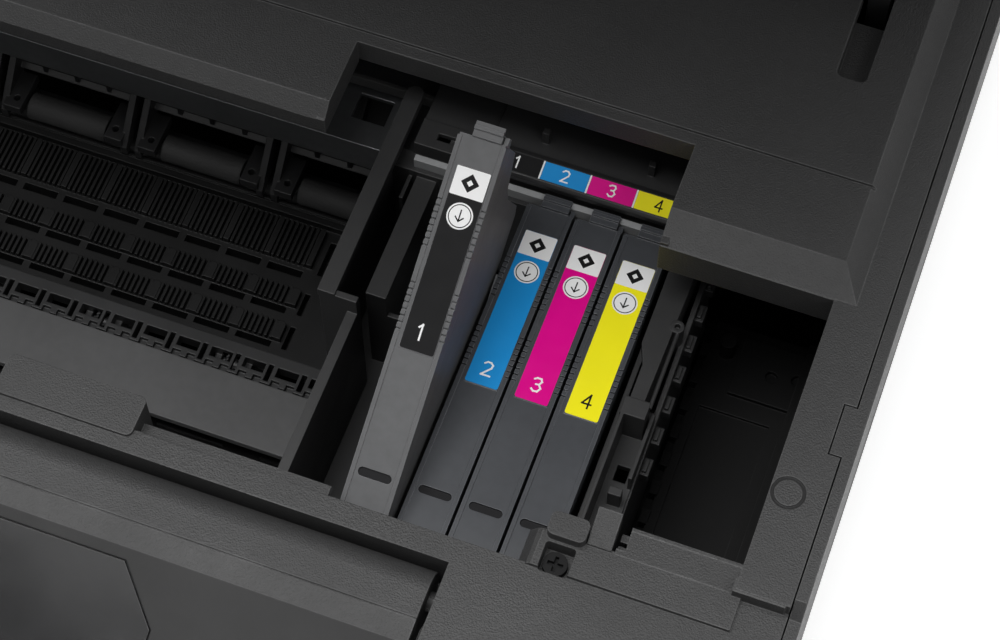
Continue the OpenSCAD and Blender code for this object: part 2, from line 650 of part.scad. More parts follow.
roof_pitch = 8.75;                 // spacing of the openings in the star wheels' roof
module star_wheel_holder() color(black) {
  difference() {
    bx(platen_x0, platen_x1, -62.7, -54.5, 62.2, 66);
    for (x = [99.45 : -roof_pitch : platen_x0 + 6]) {
      bx(x, x + 5.6, -60.2, -57.6, 61, 67);
      bx(x - 2.4, x - 1.1, -62, -57.4, 61, 67);
      for (dx = [-0.3, 3.6]) bx(x + dx, x + dx + 2.1, -62.8, -61.3, 64.8, 67);
    }
    // pockets that the star wheels turn in
    for (x = star_x) bx(x - 3, x + 3, -62.1, -54, 61, 64.5);
  }
  // cheeks that hold the star wheels' pins
  for (x = star_x, s = [-1, 1]) difference() {
    bx(x + s * 4 - 0.8, x + s * 4 + 0.8, -60.4, -55.6, 58.2, 63);
    cyl_x(x + s * 4 - 1, x + s * 4 + 1, eject_y, star_z, 1.28);
  }
  // ends that stand on the frame's side plates
  bx(side_l, platen_x0 + 0.1, -60, -54.6, 62.2, 64);
  bx(side_l, side_l + 1.2, -60, -54.6, 57.2, 62.3);
  bx(platen_x1 - 0.1, side_r + 1.2, -60, -54.6, 62.2, 64);
  bx(side_r, side_r + 1.2, -60, -54.6, 57.2, 62.3);
}

module star_wheels() color("#b9bcc0")
  for (x = star_x) {
    for (s = [-1, 1]) along_x(x + s * 1.6 - 0.3, x + s * 1.6 + 0.3)
      translate([eject_y, star_z]) difference() {
        polygon([for (i = [0 : 47]) (i % 2 == 0 ? star_r : star_r - 0.8) *
          [cos(i * 7.5), sin(i * 7.5)]]);
        circle(1.2);
      }
    cyl_x(x - 4.6, x + 4.6, eject_y, star_z, 1.2);
  }

module exit_guide() color("#3a3b3e") {
  bx(platen_x0, side_r + 0.8, -79.5, -63, 64, 66);
  // legs on the shelf over the cassette
  for (x = [-122, side_r - 2]) bx(x, x + 2.4, -79, -70, bay_top + 2.4, 64.1);
}

module carriage_motor() color(steel) {
  cyl_z(74, flange_z - 1.2, pulley_x, pulley_y, 12);
  cyl_z(71, 74.1, pulley_x, pulley_y, 5);
}

module pulley(x) {
  cyl_z(belt_z - 0.6, belt_z + belt_h + 0.2, x, pulley_y, 1.5);
  difference() {
    cyl_z(belt_z - 0.6, belt_z + belt_h + 0.2, x, pulley_y, pulley_r + 1.4);
    difference() {
      cyl_z(belt_z - 0.1, belt_z + belt_h - 0.2, x, pulley_y, pulley_r + 3);
      cyl_z(belt_z - 1, belt_z + belt_h + 1, x, pulley_y, pulley_r - 0.4);
    }
  }
}

module motor_pulley() color("#c9a45a") {
  pulley(pulley_x);
  cyl_z(flange_z - 0.9, belt_z, pulley_x, pulley_y, 1.5);
}

module idler_pulley() color("#d8d4c8") {
  pulley(-pulley_x);
  cyl_z(flange_z - 0.9, belt_z, -pulley_x, pulley_y, 1.5);
}

module timing_belt() color("#1a1a1a")
  translate([0, 0, belt_z + 0.2]) linear_extrude(belt_h - 0.6) difference() {
    round_rect(-pulley_x - pulley_r - 1.2, pulley_x + pulley_r + 1.2,
      pulley_y - pulley_r - 1.2, pulley_y + pulley_r + 1.2, pulley_r + 1.19);
    round_rect(-pulley_x - pulley_r, pulley_x + pulley_r,
      pulley_y - pulley_r, pulley_y + pulley_r, pulley_r - 0.01);
  }

module encoder_strip() color("#6a6d70") {
  bx(-166, 166, 18.4, 18.7, 107, 115);
  for (s = [-1, 1]) bx(min(s * 163, s * 167), max(s * 163, s * 167), 18.7, frame_y, 108, 114);
}

module maintenance_station() color("#242528") {
  difference() {
    bx(115.2, 168, -65.5, -5, 43.4, 57.5);
    bx(117.2, 142, -46, -12, 44.6, 61);
  }
  // raised panel right of the caps
  difference() {
    bx(144, 168, -74, -5, 57.4 + 0.8, 60);
    bx(146.5, 164.5, -68, -29, 59, 61);
  }
  bx(144, 168, -65.5, -5, 57.4, 58.3);
  // raised rim along the casing
  bx(167.5, 171.5, -76, -5, 43.4, 62.5);
  // bracket with two screw holes behind the panel
  difference() {
    union() {
      bx(152, 171, -24, -8, 59.5, 61.4);
      cyl_z(59, 66.5, 148.5, -13, 2);
    }
    cyl_z(59, 62, 161, -16.5, 1.5);
    cyl_z(59, 62, 167.4, -15.4, 1.5);
  }
  // rack of clips beside the panel
  for (i = [0 : 6]) bx(142.2, 144.4, -64 + 8 * i, -60 + 8 * i, 56, 61);
}

module cap_unit() color("#101012") {
  difference() {
    bx(118, 141, -44.5, -13.5, 45, 48.5);
    bx(119, 140, -43, -15, 46.5, 49);
  }
  difference() {
    bx(119.5, 138.5, -42, -16, 46, 53.4);
    bx(121, 137, -40.5, -17.5, 51, 54);
  }
}

module main_board() color("#2e5e3a") {
  bx(-168, -124, 150, 151.6, 12, 100);
  color(black) for (p = [[-165, 70, 18], [-140, 78, 12], [-160, 40, 10]])
    bx(p[0], p[0] + p[2], 147.6, 150, p[1], p[1] + p[2]);
  color(steel) difference() {
    bx(-150, -138, 151.6, y_back - 0.2, 30, 41);
    bx(-148.2, -139.8, 156, y_back + 1, 31.8, 39.2);
  }
  for (x = [-166, -130]) bx(x, x + 3, 151.6, 156, floor_z + wall, 30);
}

module power_supply() color("#4b4e52") {
  difference() {
    bx(134, 180, 96, 158, 8, 40);
    for (i = [0 : 5]) bx(140 + 6 * i, 143 + 6 * i, 102, 152, 38.5, 41);
  }
  for (x = [140, 170]) bx(x, x + 6, 110, 140, floor_z + wall, 8.1);
}

module power_inlet() color(black) difference() {
  bx(140, 160, 158, y_back - 0.2, 20, 36);
  translate([150, 0, 28]) along_y(164, y_back + 1) union() {
    translate([-4.2, 0]) circle(4.4);
    translate([4.2, 0]) circle(4.4);
    translate([-4.2, -3]) square([8.4, 6]);
  }
}

// Cross-head screw, its head up
module screw(x, y, z, r, length) {
  difference() {
    cyl_z(z, z + 1.8, x, y, r);
    bx(x - 0.4, x + 0.4, y - 1.7, y + 1.7, z + 0.6, z + 3);
    bx(x - 1.7, x + 1.7, y - 0.4, y + 0.4, z + 0.6, z + 3);
  }
  cyl_z(z - length, z, x, y, 1.35);
}

module housing_screws() color("#3a3c40") {
  screw(screw_x, screw_y, ledge_z - 3.15, 2.7, 3);
  // tapping screws up through the bottom of the frame's feet
  for (x = [-foot_x, foot_x]) screw(x, frame_y + 9, floor_z + wall + 1.25, 3, 3);
}

// ---- Paper cassette ----
module paper_cassette() color(black) {
  cassette_body();
  cyl_z(7.1, 10, 0, rack_y, 1.5);
}

module cassette_body() difference() {
  union() {
    difference() {
      bx(-tray_x, tray_x, y_front + 3, 92, 6.2, 38);
      bx(-tray_x + 2, tray_x - 2, y_front + 6, 90, 8.2, 39);
    }
    // front panel with its rounded top edge
    along_x(-tray_x, tray_x) polygon([
      [y_front - 1, 6.6], [y_front + 3.2, 6.2], [y_front + 3.2, bay_top - 0.6],
      [y_front + 0.6, bay_top - 0.6], [y_front - 1, bay_top - 2.4]]);
  }
  // finger hold in the front panel
  translate([0, 0, 0]) along_y(y_front - 2, y_front + 2) round_rect(-34, 34, 9, 20, 5);
  // slots that the racks of the edge guides lie in
  bx(-98, 98, rack_y - 9.6, rack_y + 9.6, 7.2, 9);
}

// One edge guide: upright fence and the rack that meets the pinion
module edge_guide(s) {
  fence = 109;
  bx(min(s * fence, s * (fence + 2)), max(s * fence, s * (fence + 2)), -70, 40, 9.2, 34);
  bx(min(s * (fence - 14), s * (fence + 1)), max(s * (fence - 14), s * (fence + 1)),
    -45, 5, 9.2, 10.6);
  for (i = [0 : 3]) bx(min(s * fence, s * (fence + 5)), max(s * fence, s * (fence + 5)),
    -60 + 28 * i, -58 + 28 * i, 9.2, 26);
}

// Straight rack outline along X: teeth point towards +Y, pitch line at y = 0
module rack_outline(x0, n, m) {
  p = PI * m;
  polygon(concat([[x0, -2.6]], [for (i = [0 : n - 1], c = [[0.23, -1.25], [0.4, 0.8],
    [0.6, 0.8], [0.77, -1.25]]) [x0 + (i + c[0]) * p, c[1] * m]], [[x0 + n * p, -2.6]]));
}

module left_edge_guide() color("#2f3033") {
  edge_guide(-1);
  rack_m = 2 * rack_pr / rack_teeth;
  translate([-PI * rack_m * 30.5, rack_y - rack_pr, 7.5]) linear_extrude(1.5)
    rack_outline(0, 36, rack_m);
  bx(-96, -94, rack_y - rack_pr - 2.6, rack_y - rack_pr - 1.3, 7.5, 10);
}

module right_edge_guide() color("#2f3033") {
  edge_guide(1);
  rack_m = 2 * rack_pr / rack_teeth;
  translate([PI * rack_m * 30.5, rack_y + rack_pr, 7.5]) rotate(180) linear_extrude(1.5)
    rack_outline(0, 36, rack_m);
  bx(94, 96, rack_y + rack_pr + 1.3, rack_y + rack_pr + 2.6, 7.5, 10);
}

module guide_pinion() color("#2f3033")
  translate([0, rack_y, 7.5]) {
    linear_extrude(1.5) difference() {
      rotate(15) gear_outline(rack_teeth, 2 * rack_pr / rack_teeth);
      circle(1.56);
    }
    translate([0, 0, 1.4]) linear_extrude(1.6) difference() {
      circle(3);
      circle(1.56);
    }
  }

module output_tray() color(black) {
  difference() {
    bx(-108, 108, y_front + 1, -67, bay_top + 2.8, bay_top + 6);
    bx(-40, 40, y_front, y_front + 18.5, bay_top + 2, bay_top + 7);
    cyl_x(-42, 42, y_front + 16.5, bay_top + 4.4, 1.26);
    for (i = [-3 : 3]) bx(i * 28 - 9, i * 28 + 9, -122, -74, bay_top + 5.2, bay_top + 7);
  }
}

module tray_stop() color(black) {
  bx(-38, 38, y_front + 1.6, y_front + 16.5, bay_top + 3.2, bay_top + 5.6);
  cyl_x(-41.5, 41.5, y_front + 16.5, bay_top + 4.4, 1.2);
}

// ---- Carriage ----
module carriage_shell() color("#2b2c2f") {
  // tall left wall with its flat top and square front end
  bx(car_x0 - 0.3, car_x0 + 3.9, -57, 0, 111.5, 114);
  cyl_z(111.5, 114, car_x0 + 1.8, 0, 2.1);
  bx(car_x0, car_x0 + 1.8, -57, -13, car_floor, 112);
  bx(car_x0, car_x0 + 1.8, -13.1, -3.4, 104.8, 112);
  bx(car_x0, 69.7, -57, -55.4, car_floor, 113.4);
  // lower wall ahead of it
  bx(67.2, 69.7, -100, -56, car_floor, 108);
  bx(65.6, 68, -101.5, -98.5, 101, 106);
  // floor, open under the print head
  difference() {
    bx(car_x0, car_x1, -123.4, -13, car_floor, 70.5);
    bx(84, 133.4, -44.2, -12, car_floor - 1, 71);
  }
  // front wall with the lip that the cartridges hook under
  bx(70.5, car_x1, -123.4, -121.6, car_floor, 107);
  bx(69.6, 71, -123.4, -99, car_floor, 84);
  // inner divider left of the black cartridge
  bx(68.6, 73.6, -49.5, -16, car_floor, 104.5);
  bx(73.6, 84.5, -49.5, -48.3, car_floor, 96);
  // rear wall and the cover behind it
  bx(car_x0 + 1, 133.4, -16, -13, 70, 106.4);
  difference() {
    bx(cover_x0, car_x1, cover_y, 14, 109.6, 111.2);
    bx(71, 76.5, -8.8, -6.9, 109, 112);
    bx(cover_x0 - 1, 83.6, -4, 15, 110.4, 112);
  }
  bx(cover_x0, car_x1, cover_y, cover_y + 0.6, 104.8, 110);
  bx(car_x0 + 1, 133.4, -13.1, cover_y + 0.5, 104.8, 106.4);
  for (x = [cover_x0, car_x1 - 1.6]) bx(x, x + 1.6, cover_y, 1.6, 104.8, 110);
  // upright rib left of the divider
  bx(66.5, 67.4, -22.6, -15.9, 98, 104);
  // slider blocks on the guide flange and the belt clamp
  for (x = [74, 122]) bx(x, x + 9, -9, -2, flange_z + 0.3, 109.8);
  bx(94, 110, -2.1, 2.2, flange_z + 0.6, 109.8);
  // small posts on the cover
  for (x = [95.6, 121.8]) bx(x - 0.8, x + 0.8, -1, 0.6, 111.1, 115.5);
  // ribs between the cartridges, low down
  for (i = [1 : 3]) bx(cart_x0 + i * pitch - 0.55, cart_x0 + i * pitch - 0.2,
    -119, -46, 70.4, 78);
  // right wall: broad top plate, then an open channel with a cross wall
  bx(133.4, 134.6, -122.5, -13, car_floor, 106);
  difference() {
    translate([0, 0, 98]) linear_extrude(10.5) polygon([[133.4, -13], [133.4, -42],
      [135.3, -47], [135.3, -56.5], [138.7, -56.5], [139.7, -13]]);
    bx(135.3, 138, -53, -16, 97, 106.5);
  }
  // eyelet and rod of the ribbon cable's clamp
  difference() {
    cyl_z(98, 108.7, 139.8, -35.4, 1.6);
    cyl_z(107, 109, 139.8, -35.4, 0.7);
  }
  cyl_y(-57, -35.8, 140.3, 108, 0.5);
  bx(134.5, 135.3, -104, -56, 96, 109);
  bx(140.8, 141.6, -73, -56, 96, 104);
  bx(134.3, 140.2, -60.5, -56, 96, 109);
  difference() {
    bx(134.5, 141.6, -104, -53, 96, 98);
    bx(137, 140, -72, -68, 95, 99);
  }
  bx(137.6, 140.6, -78, -76, 97, 104);
  bx(134.5, 141.6, -104, -103, 96, 103);
  along_x(140.8, car_x1) polygon([[-123, car_floor], [-123, 92], [-86, 96], [-13, 104],
    [-13, car_floor]]);
  // row of cable clips down the right side
  for (i = [0 : 6]) {
    clip_y = -17.9 - 7.9 * i;
    clip_z = 102 - 0.9 * i;
    bx(car_x1 - 0.1, car_x1 + 2, clip_y - 2.2, clip_y + 2.2, clip_z - 3.6, clip_z - 1);
    bx(car_x1 + 0.4, car_x1 + 1.3, clip_y - 1.6, clip_y + 1.6, clip_z - 1.1, clip_z);
  }
}

module print_head() color("#6d7074") {
  bx(84.4, 133, -43.8, -16.8, 62, 70);
  bx(90, 112, -42, -16.9, 59.4, 62.1);
  bx(92, 110, -40, -19, 58.2, 59.5);
}

// Bar over the rear wall with one plain colour field for each cartridge
module label_bar() {
  color(black) along_x(84.4, 133) polygon([
    [-12.8, 111.2], [-12.8, 112.6], [-12.2, 113.3], [-7, 114.2], [-5.8, 113.9],
    [-5.4, 111.2]]);
}

// Sprung bar on the rear wall that the cartridges' catches snap over
module cartridge_latches() color("#b4b7bb")
  bx(67.5, 131.8, -14.8, cover_y - 1.95, 106.4, 109.6);

// Side outline of a cartridge: y from its rear end forward, z up to its top
module cartridge_side() {
  y1 = cart_y0;
  z1 = cart_top;
  polygon([[y1, z1], [y1, z1 - 14], [y1 - 8, z1 - 19], [y1 - 10, z1 - 24],
    [y1 - 10, z1 - cart_h + 2], [y1 - 12, z1 - cart_h], [y1 - 88, z1 - cart_h], [y1 - 93, z1 - cart_h + 4],
    [y1 - 100, z1 - 16], [y1 - cart_len + 0.6, z1 - 8], [y1 - cart_len + 0.2, z1 - 2.4],
    [y1 - cart_len + 2, z1 - 1.2], [y1 - cart_len + 5, z1]]);
}

// One cartridge: body, proud label with two rows of notches, rear latch, front groove
module cartridge(i, body, label) {
  x0 = cart_x0 + i * pitch;
  x1 = x0 + cart_w;
  difference() {
    color(body) union() {
      along_x(x0 + 0.3, x1 - 0.3) cartridge_side();
      // rounded nose that turns under the carriage's front lip
      cyl_x(x0 + 0.3, x1 - 0.3, cart_axis_y, cart_axis_z, 1.7);
      // side rails along the top edges
      for (x = [x0, x1 - 1]) bx(x, x + 1, cart_y0 - 96, cart_y0 - 0.6, cart_top - 5, cart_top + 0.35);
      // stepped catch at the rear end, over the sprung bar
      bx(x0 + 3.2, x0 + 9.9, cart_y0 - 0.1, cart_y0 + 1.9, cart_top - 3.2, cart_top + 0.8);
      bx(x0 + 3.2, x0 + 9.9, cart_y0 + 1.5, cart_y0 + 2.4, cart_top + 0.1, cart_top + 1.4);
      bx(x0 + 3.2, x0 + 9.9, cart_y0 + 2.3, cart_y0 + 3.4, cart_top + 0.1, cart_top + 0.8);
      bx(x0 + 10.1, x1, cart_y0 - 0.1, cart_y0 + 1.7, cart_top - 3.2, cart_top - 0.6);
    }
    // groove near the front end
    translate([0, 0, cart_top - 0.5]) linear_extrude(2)
      round_rect(x0 + 1.7, x1 - 1.7, cart_y0 - 77.6, cart_y0 - 75.6, 0.99);
    // notches beside the label
    for (g = [0, 1], k = [0 : 7], x = [x0, x1 - 1])
      bx(x - 0.1, x + 1.1, cart_y0 - 15.4 - g * 19 - k * 1.5, cart_y0 - 15 - g * 19 - k * 1.5,
        cart_top - 0.4, cart_top + 1);
    // ink port and chip recess underneath
    cyl_z(cart_top - cart_h - 1, cart_top - cart_h + 6, (x0 + x1) / 2, cart_y0 - 24, 2.6);
    bx(x0 + 2, x1 - 2, cart_y0 - 10.6, cart_y0 - 9, cart_top - 36, cart_top - 26);
  }
  color(label) bx(x0 + label_x0, x0 + label_x1, cart_y0 - 48.5, cart_y0 - 6.8,
    cart_top - 0.1, cart_top + 0.15);
}

// Raises a cartridge about its hooked front end
module raised(angle)
  translate([0, cart_axis_y, cart_axis_z]) rotate([angle, 0, 0])
    translate([0, -cart_axis_y, -cart_axis_z]) children();

module black_cartridge() raised(cart_lift) cartridge(0, "#55575b", "#141414");
module cyan_cartridge() cartridge(1, "#3c4046", "#2d9fd2");
module magenta_cartridge() cartridge(2, "#3c4046", "#d0158f");
module yellow_cartridge() cartridge(3, "#3c4046", "#f2e526");

// ---- Control panel ----
// Places children drawn flat (x, distance down the face, height over it) on the panel's face
module on_face()
  translate([0, bend_y, bend_z]) rotate([panel_slope, 0, 0]) mirror([0, 1, 0]) children();

module panel_shell() color(charcoal) {
  difference() {
    union() {
      along_x(-pan_x, pan_x) union() {
        translate([pan_y, pan_z]) circle(pan_r);
        polygon([[pan_y, pan_z + pan_r], [-129.2, pan_z + pan_r], [bend_y, bend_z],
          [bend_y + pan_t * sin(panel_slope), bend_z - pan_t * cos(panel_slope)],
          [pan_y - 4.2, pan_z - 3.2], [pan_y, pan_z]]);
      }
      on_face() round_box(-pan_x, pan_x, -0.2, panel_len, -pan_t, 0, 1);
      cyl_x(-pocket_x - 1.8, pocket_x + 1.8, pan_y, pan_z, pan_pin_r);
    }
    on_face() {
      // cavity for the board, and the seats of display and buttons
      bx(-107, 107, 4, panel_len - 3, -pan_t + 1.6, -2);
      translate([0, 0, -0.9]) linear_extrude(2) display_outline(0.25);
      for (p = [[-84, 18, 5.25], [-84, 40, 5.25], [84, 44, 5.25], [84, 23, 12.3]])
        cyl_z(-3, 1, p[0], p[1], p[2]);
    }
    // seam line behind the face
    bx(-pan_x - 1, pan_x + 1, -129.4, -129.1, pan_z + pan_r - 0.35, pan_z + pan_r + 1);
  }
}

module display_outline(grow)
  polygon([[-50 - grow, 2.6 - grow], [50 + grow, 2.6 - grow], [60 + grow, 14.5],
    [60 + grow, panel_len - 5 + grow], [-60 - grow, panel_len - 5 + grow], [-60 - grow, 14.5]]);

module display() color("#0b0c0e")
  on_face() translate([0, 0, -0.88]) linear_extrude(1) display_outline(0);

// Round key with a retaining flange under the panel's skin
module key(x, u, r)
  on_face() {
    cyl_z(-3.4, 0.9, x, u, r);
    cyl_z(-3.4, -2.4, x, u, r + 1);
  }

module power_button() color("#1b1c1f") key(-84, 40, 5);
module home_button() color("#1b1c1f") key(-84, 18, 5);
module start_button() color("#1b1c1f") key(84, 44, 5);
module ok_button() color("#26272b") on_face() {
  cyl_z(-4.4, 0.9, 84, 23, 4.6);
  cyl_z(-4.4, -3.4, 84, 23, 5.6);
}

module arrow_pad() color("#1b1c1f") on_face() difference() {
  union() {
    cyl_z(-3.4, 0.6, 84, 23, 12);
    cyl_z(-3.4, -2.4, 84, 23, 13);
  }
  cyl_z(-5, 2, 84, 23, 4.9);
  cyl_z(-5, -2.1, 84, 23, 6);
}

// ---- Scanner unit, drawn closed and then opened ----
module opened()
  translate([0, hinge_y, hinge_z]) rotate([-scan_open, 0, 0])
    translate([0, -hinge_y, -hinge_z]) children();

module scanner_side(inset)
  polygon([[scan_y0 + inset + 3, scan_z0 + inset], [scan_y1 - 4 - inset, scan_z0 + inset],
    [scan_y1 - inset, hinge_z - 3 + inset], [scan_y1 - inset, scan_z1 - 3],
    [scan_y0 + inset, scan_z1 - 3], [scan_y0 + inset, scan_z0 + inset + 4]]);

module scanner_base() color(charcoal) opened() {
  difference() {
    along_x(-scan_x, scan_x) scanner_side(0);
    difference() {
      intersection() {
        along_x(-scan_x + 2.2, scan_x - 2.2) scanner_side(2.2);
        union() {
          bx(-scan_x, scan_x, scan_y0, 147, scan_z0, scan_z1);
          bx(-scan_x, scan_x, 146, scan_y1, scan_z0, scan_z1 - 5.2);
        }
      }
      for (x = [-118, 118]) bx(x - 15, x + 15, 148, scan_y1 + 1, scan_z0, scan_z1);
    }
    bx(-scan_x + 2.2, scan_x - 2.2, scan_y0 + 2.2, 147, scan_z1 - 6, scan_z1 + 1);
    // room for the hinge posts
    for (x = [-118, 118], s = [-1, 1])
      bx(x + s * 9 - 2.5, x + s * 9 + 2.5, hinge_y - 7.5, scan_y1 + 1, scan_z0 - 1, hinge_z + 7.5);
  }
  // trunnions in the posts
  for (x = [-118, 118]) cyl_x(x - 11.4, x + 11.4, hinge_y, hinge_z, 3);
  // ears with the pins that the document lid turns on
  for (s = [-1, 1]) {
    along_x(min(s * 150.4, s * 155), max(s * 150.4, s * 155)) union() {
      translate([lid_axis_y, lid_axis_z]) circle(5);
      translate([lid_axis_y - 1, scan_z1 - 4]) square([6, lid_axis_z - scan_z1 + 4]);
    }
    cyl_x(min(s * 146, s * 152), max(s * 146, s * 152), lid_axis_y, lid_axis_z, 2);
  }
  // rail of the scan bar
  cyl_x(-scan_x + 1, scan_x - 1, 4, scan_z0 + 6, 3);
  // stiffening ribs under the unit, over the carriage
  for (i = [-4 : 4]) bx(i * 36 - 0.8, i * 36 + 0.8, -92, -38, scan_z0 - 4, scan_z0 + 0.1);
}

module scanner_top_frame() color(black) opened() difference() {
  round_box(-scan_x, scan_x, scan_y0, 148, scan_z1 - 3 + 0.01, scan_z1, 4);
  bx(-glass_x + 6, glass_x - 6, glass_y0 + 4, glass_y1 - 4, scan_z1 - 5, scan_z1 + 1);
  bx(-glass_x - 0.2, glass_x + 0.2, glass_y0 - 0.2, glass_y1 + 0.2, scan_z1 - 2.2, scan_z1 + 1);
}

module scanner_glass() color([0.7, 0.8, 0.82, 0.4]) opened()
  bx(-glass_x, glass_x, glass_y0, glass_y1, scan_z1 - 2.18, scan_z1 - 0.1);

module scan_bar() color(black) opened() difference() {
  union() {
    bx(-172, -154, -106, 114, scan_z0 + 13, scan_z1 - 5.4);
    bx(-172, -154, -6, 14, scan_z0 + 7.2, scan_z0 + 13.1);
  }
  cyl_x(-173, -153, 4, scan_z0 + 6, 3.3);
  bx(-165, -161, -104, 112, scan_z1 - 6.4, scan_z1);
}

module scanner_stay() color(black) opened() difference() {
  intersection() {
    translate([slot_x0 + 1.2, hinge_y, hinge_z]) rotate([0, 90, 0])
      difference() {
        cylinder(h = 5, r = stay_r1, $fn = 96);
        translate([0, 0, -1]) cylinder(h = 7, r = stay_r0, $fn = 96);
      }
    // sector from the underside of the unit down to the platform
    along_x(slot_x0, slot_x1) polygon([[hinge_y, hinge_z], [hinge_y - 130, hinge_z - 7.2],
      [hinge_y - 120, hinge_z - 130], [hinge_y - 108 * cos(scan_open + 7), hinge_z - 120]]);
  }
  bx(slot_x0, slot_x1, hinge_y - 130, hinge_y, scan_z0 - 0.01, hinge_z);
}

module document_lid() color(charcoal) opened() difference() {
  union() {
    round_box(-scan_x, scan_x, scan_y0 - 1, 144, scan_z1 + 0.4, scan_z1 + lid_h, 5);
    along_x(-150, 150) union() {
      translate([lid_axis_y, lid_axis_z]) circle(5);
      translate([140, lid_axis_z - 5]) square([lid_axis_y - 140, 10]);
    }
  }
  // shallow recess for the white pad, and the hollow behind it
  bx(-glass_x - 8, glass_x + 8, glass_y0 - 8, glass_y1 + 8, scan_z1, scan_z1 + 4);
  bx(-glass_x, glass_x, glass_y0, glass_y1, scan_z1, scan_z1 + lid_h - 2.6);
  // sockets for the hinge pins
  for (s = [-1, 1])
    cyl_x(min(s * 145.5, s * 151), max(s * 145.5, s * 151), lid_axis_y, lid_axis_z, 2.07);
  // finger lip at the front edge
  bx(-45, 45, scan_y0 - 2, scan_y0 + 5, scan_z1, scan_z1 + 4);
}

module lid_pad() color("#d9dadb") opened()
  round_box(-glass_x - 6, glass_x + 6, glass_y0 - 6, glass_y1 + 6, scan_z1 + 0.3, scan_z1 + 3.95, 2);

bottom_case();
top_housing();
left_side_cover();
right_side_cover();
rear_cover();
rubber_feet();
main_frame();
platen();
ink_absorber();
pinch_roller_holders();
pinch_rollers();
feed_roller();
feed_gear();
idler_gear();
eject_roller();
star_wheel_holder();
star_wheels();
exit_guide();
feed_motor();
motor_pinion();
roller_bushings();
carriage_motor();
motor_pulley();
idler_pulley();
timing_belt();
encoder_strip();
maintenance_station();
cap_unit();
main_board();
power_supply();
power_inlet();
housing_screws();
paper_cassette();
left_edge_guide();
right_edge_guide();
guide_pinion();
output_tray();
tray_stop();
carriage_shell();
print_head();
label_bar();
cartridge_latches();
black_cartridge();
cyan_cartridge();
magenta_cartridge();
yellow_cartridge();
panel_shell();
display();
power_button();
home_button();
arrow_pad();
ok_button();
start_button();
scanner_base();
scanner_top_frame();
scanner_glass();
scan_bar();
scanner_stay();
document_lid();
lid_pad();
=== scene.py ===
import json
import math
import bpy
import bmesh
from mathutils import Matrix, Vector


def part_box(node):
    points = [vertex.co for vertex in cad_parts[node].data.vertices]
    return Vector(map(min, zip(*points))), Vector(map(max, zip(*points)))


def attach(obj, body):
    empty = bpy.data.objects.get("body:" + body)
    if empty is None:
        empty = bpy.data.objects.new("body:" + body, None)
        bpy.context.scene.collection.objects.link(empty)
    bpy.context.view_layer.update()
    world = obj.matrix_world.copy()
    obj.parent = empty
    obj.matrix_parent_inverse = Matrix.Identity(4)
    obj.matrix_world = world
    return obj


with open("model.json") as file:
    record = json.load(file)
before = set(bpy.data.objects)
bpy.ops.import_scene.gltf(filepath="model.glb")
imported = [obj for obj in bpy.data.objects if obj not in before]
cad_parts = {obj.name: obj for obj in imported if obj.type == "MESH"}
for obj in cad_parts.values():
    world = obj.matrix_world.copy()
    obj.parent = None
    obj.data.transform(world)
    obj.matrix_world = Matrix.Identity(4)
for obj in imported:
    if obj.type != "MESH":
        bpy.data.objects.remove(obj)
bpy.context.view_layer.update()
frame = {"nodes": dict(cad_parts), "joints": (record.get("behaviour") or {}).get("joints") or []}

MM = 0.001
TO_METRES = Matrix.Diagonal((MM, MM, MM, 1))
nodes = frame["nodes"]
joints = {joint["name"]: joint for joint in frame["joints"]}
collection = bpy.context.scene.collection


def shift(x, y, z):
    """Placement that moves by a distance in millimetres."""
    return Matrix.Translation(Vector((x, y, z)) * MM)


# ---- Camera ----
AZIMUTH = math.radians(19.97)  # to the right of the front
ELEVATION = math.radians(62.35)
CAMERA_PLACE = shift(193.013, -300.552, 622.345)
FOCAL_LENGTH = 91.3
SENSOR_WIDTH = 36
VIEW_DEPTH = 20  # m


def photo_camera():
    """Camera at the photograph's angle."""
    back = Vector((math.sin(AZIMUTH) * math.cos(ELEVATION),
                   -math.cos(AZIMUTH) * math.cos(ELEVATION), math.sin(ELEVATION)))
    right = Vector((math.cos(AZIMUTH), math.sin(AZIMUTH), 0))
    up = back.cross(right)
    data = bpy.data.cameras.new("camera")
    data.lens = FOCAL_LENGTH
    data.sensor_width = SENSOR_WIDTH
    data.clip_end = VIEW_DEPTH
    camera = bpy.data.objects.new("camera", data)
    collection.objects.link(camera)
    camera.matrix_world = CAMERA_PLACE @ Matrix((right, up, back)).transposed().to_4x4()
    return camera


bpy.context.scene.camera = photo_camera()
bpy.context.scene.view_settings.view_transform = "Standard"


# ---- Node helpers ----
MIX_FACTOR, MIX_A, MIX_B, MIX_RESULT = 0, 6, 7, 2  # sockets of a Mix node that mixes colours
NOISE_ROUGHNESS = 0.55
DRIFT_FROM, DRIFT_TO = 0.3, 0.7  # values of a noise between which a drifting value changes
BEVEL_SAMPLES = 6
FLAT = 0.997  # cosine between true and rounded normal, below which a face starts to be an edge


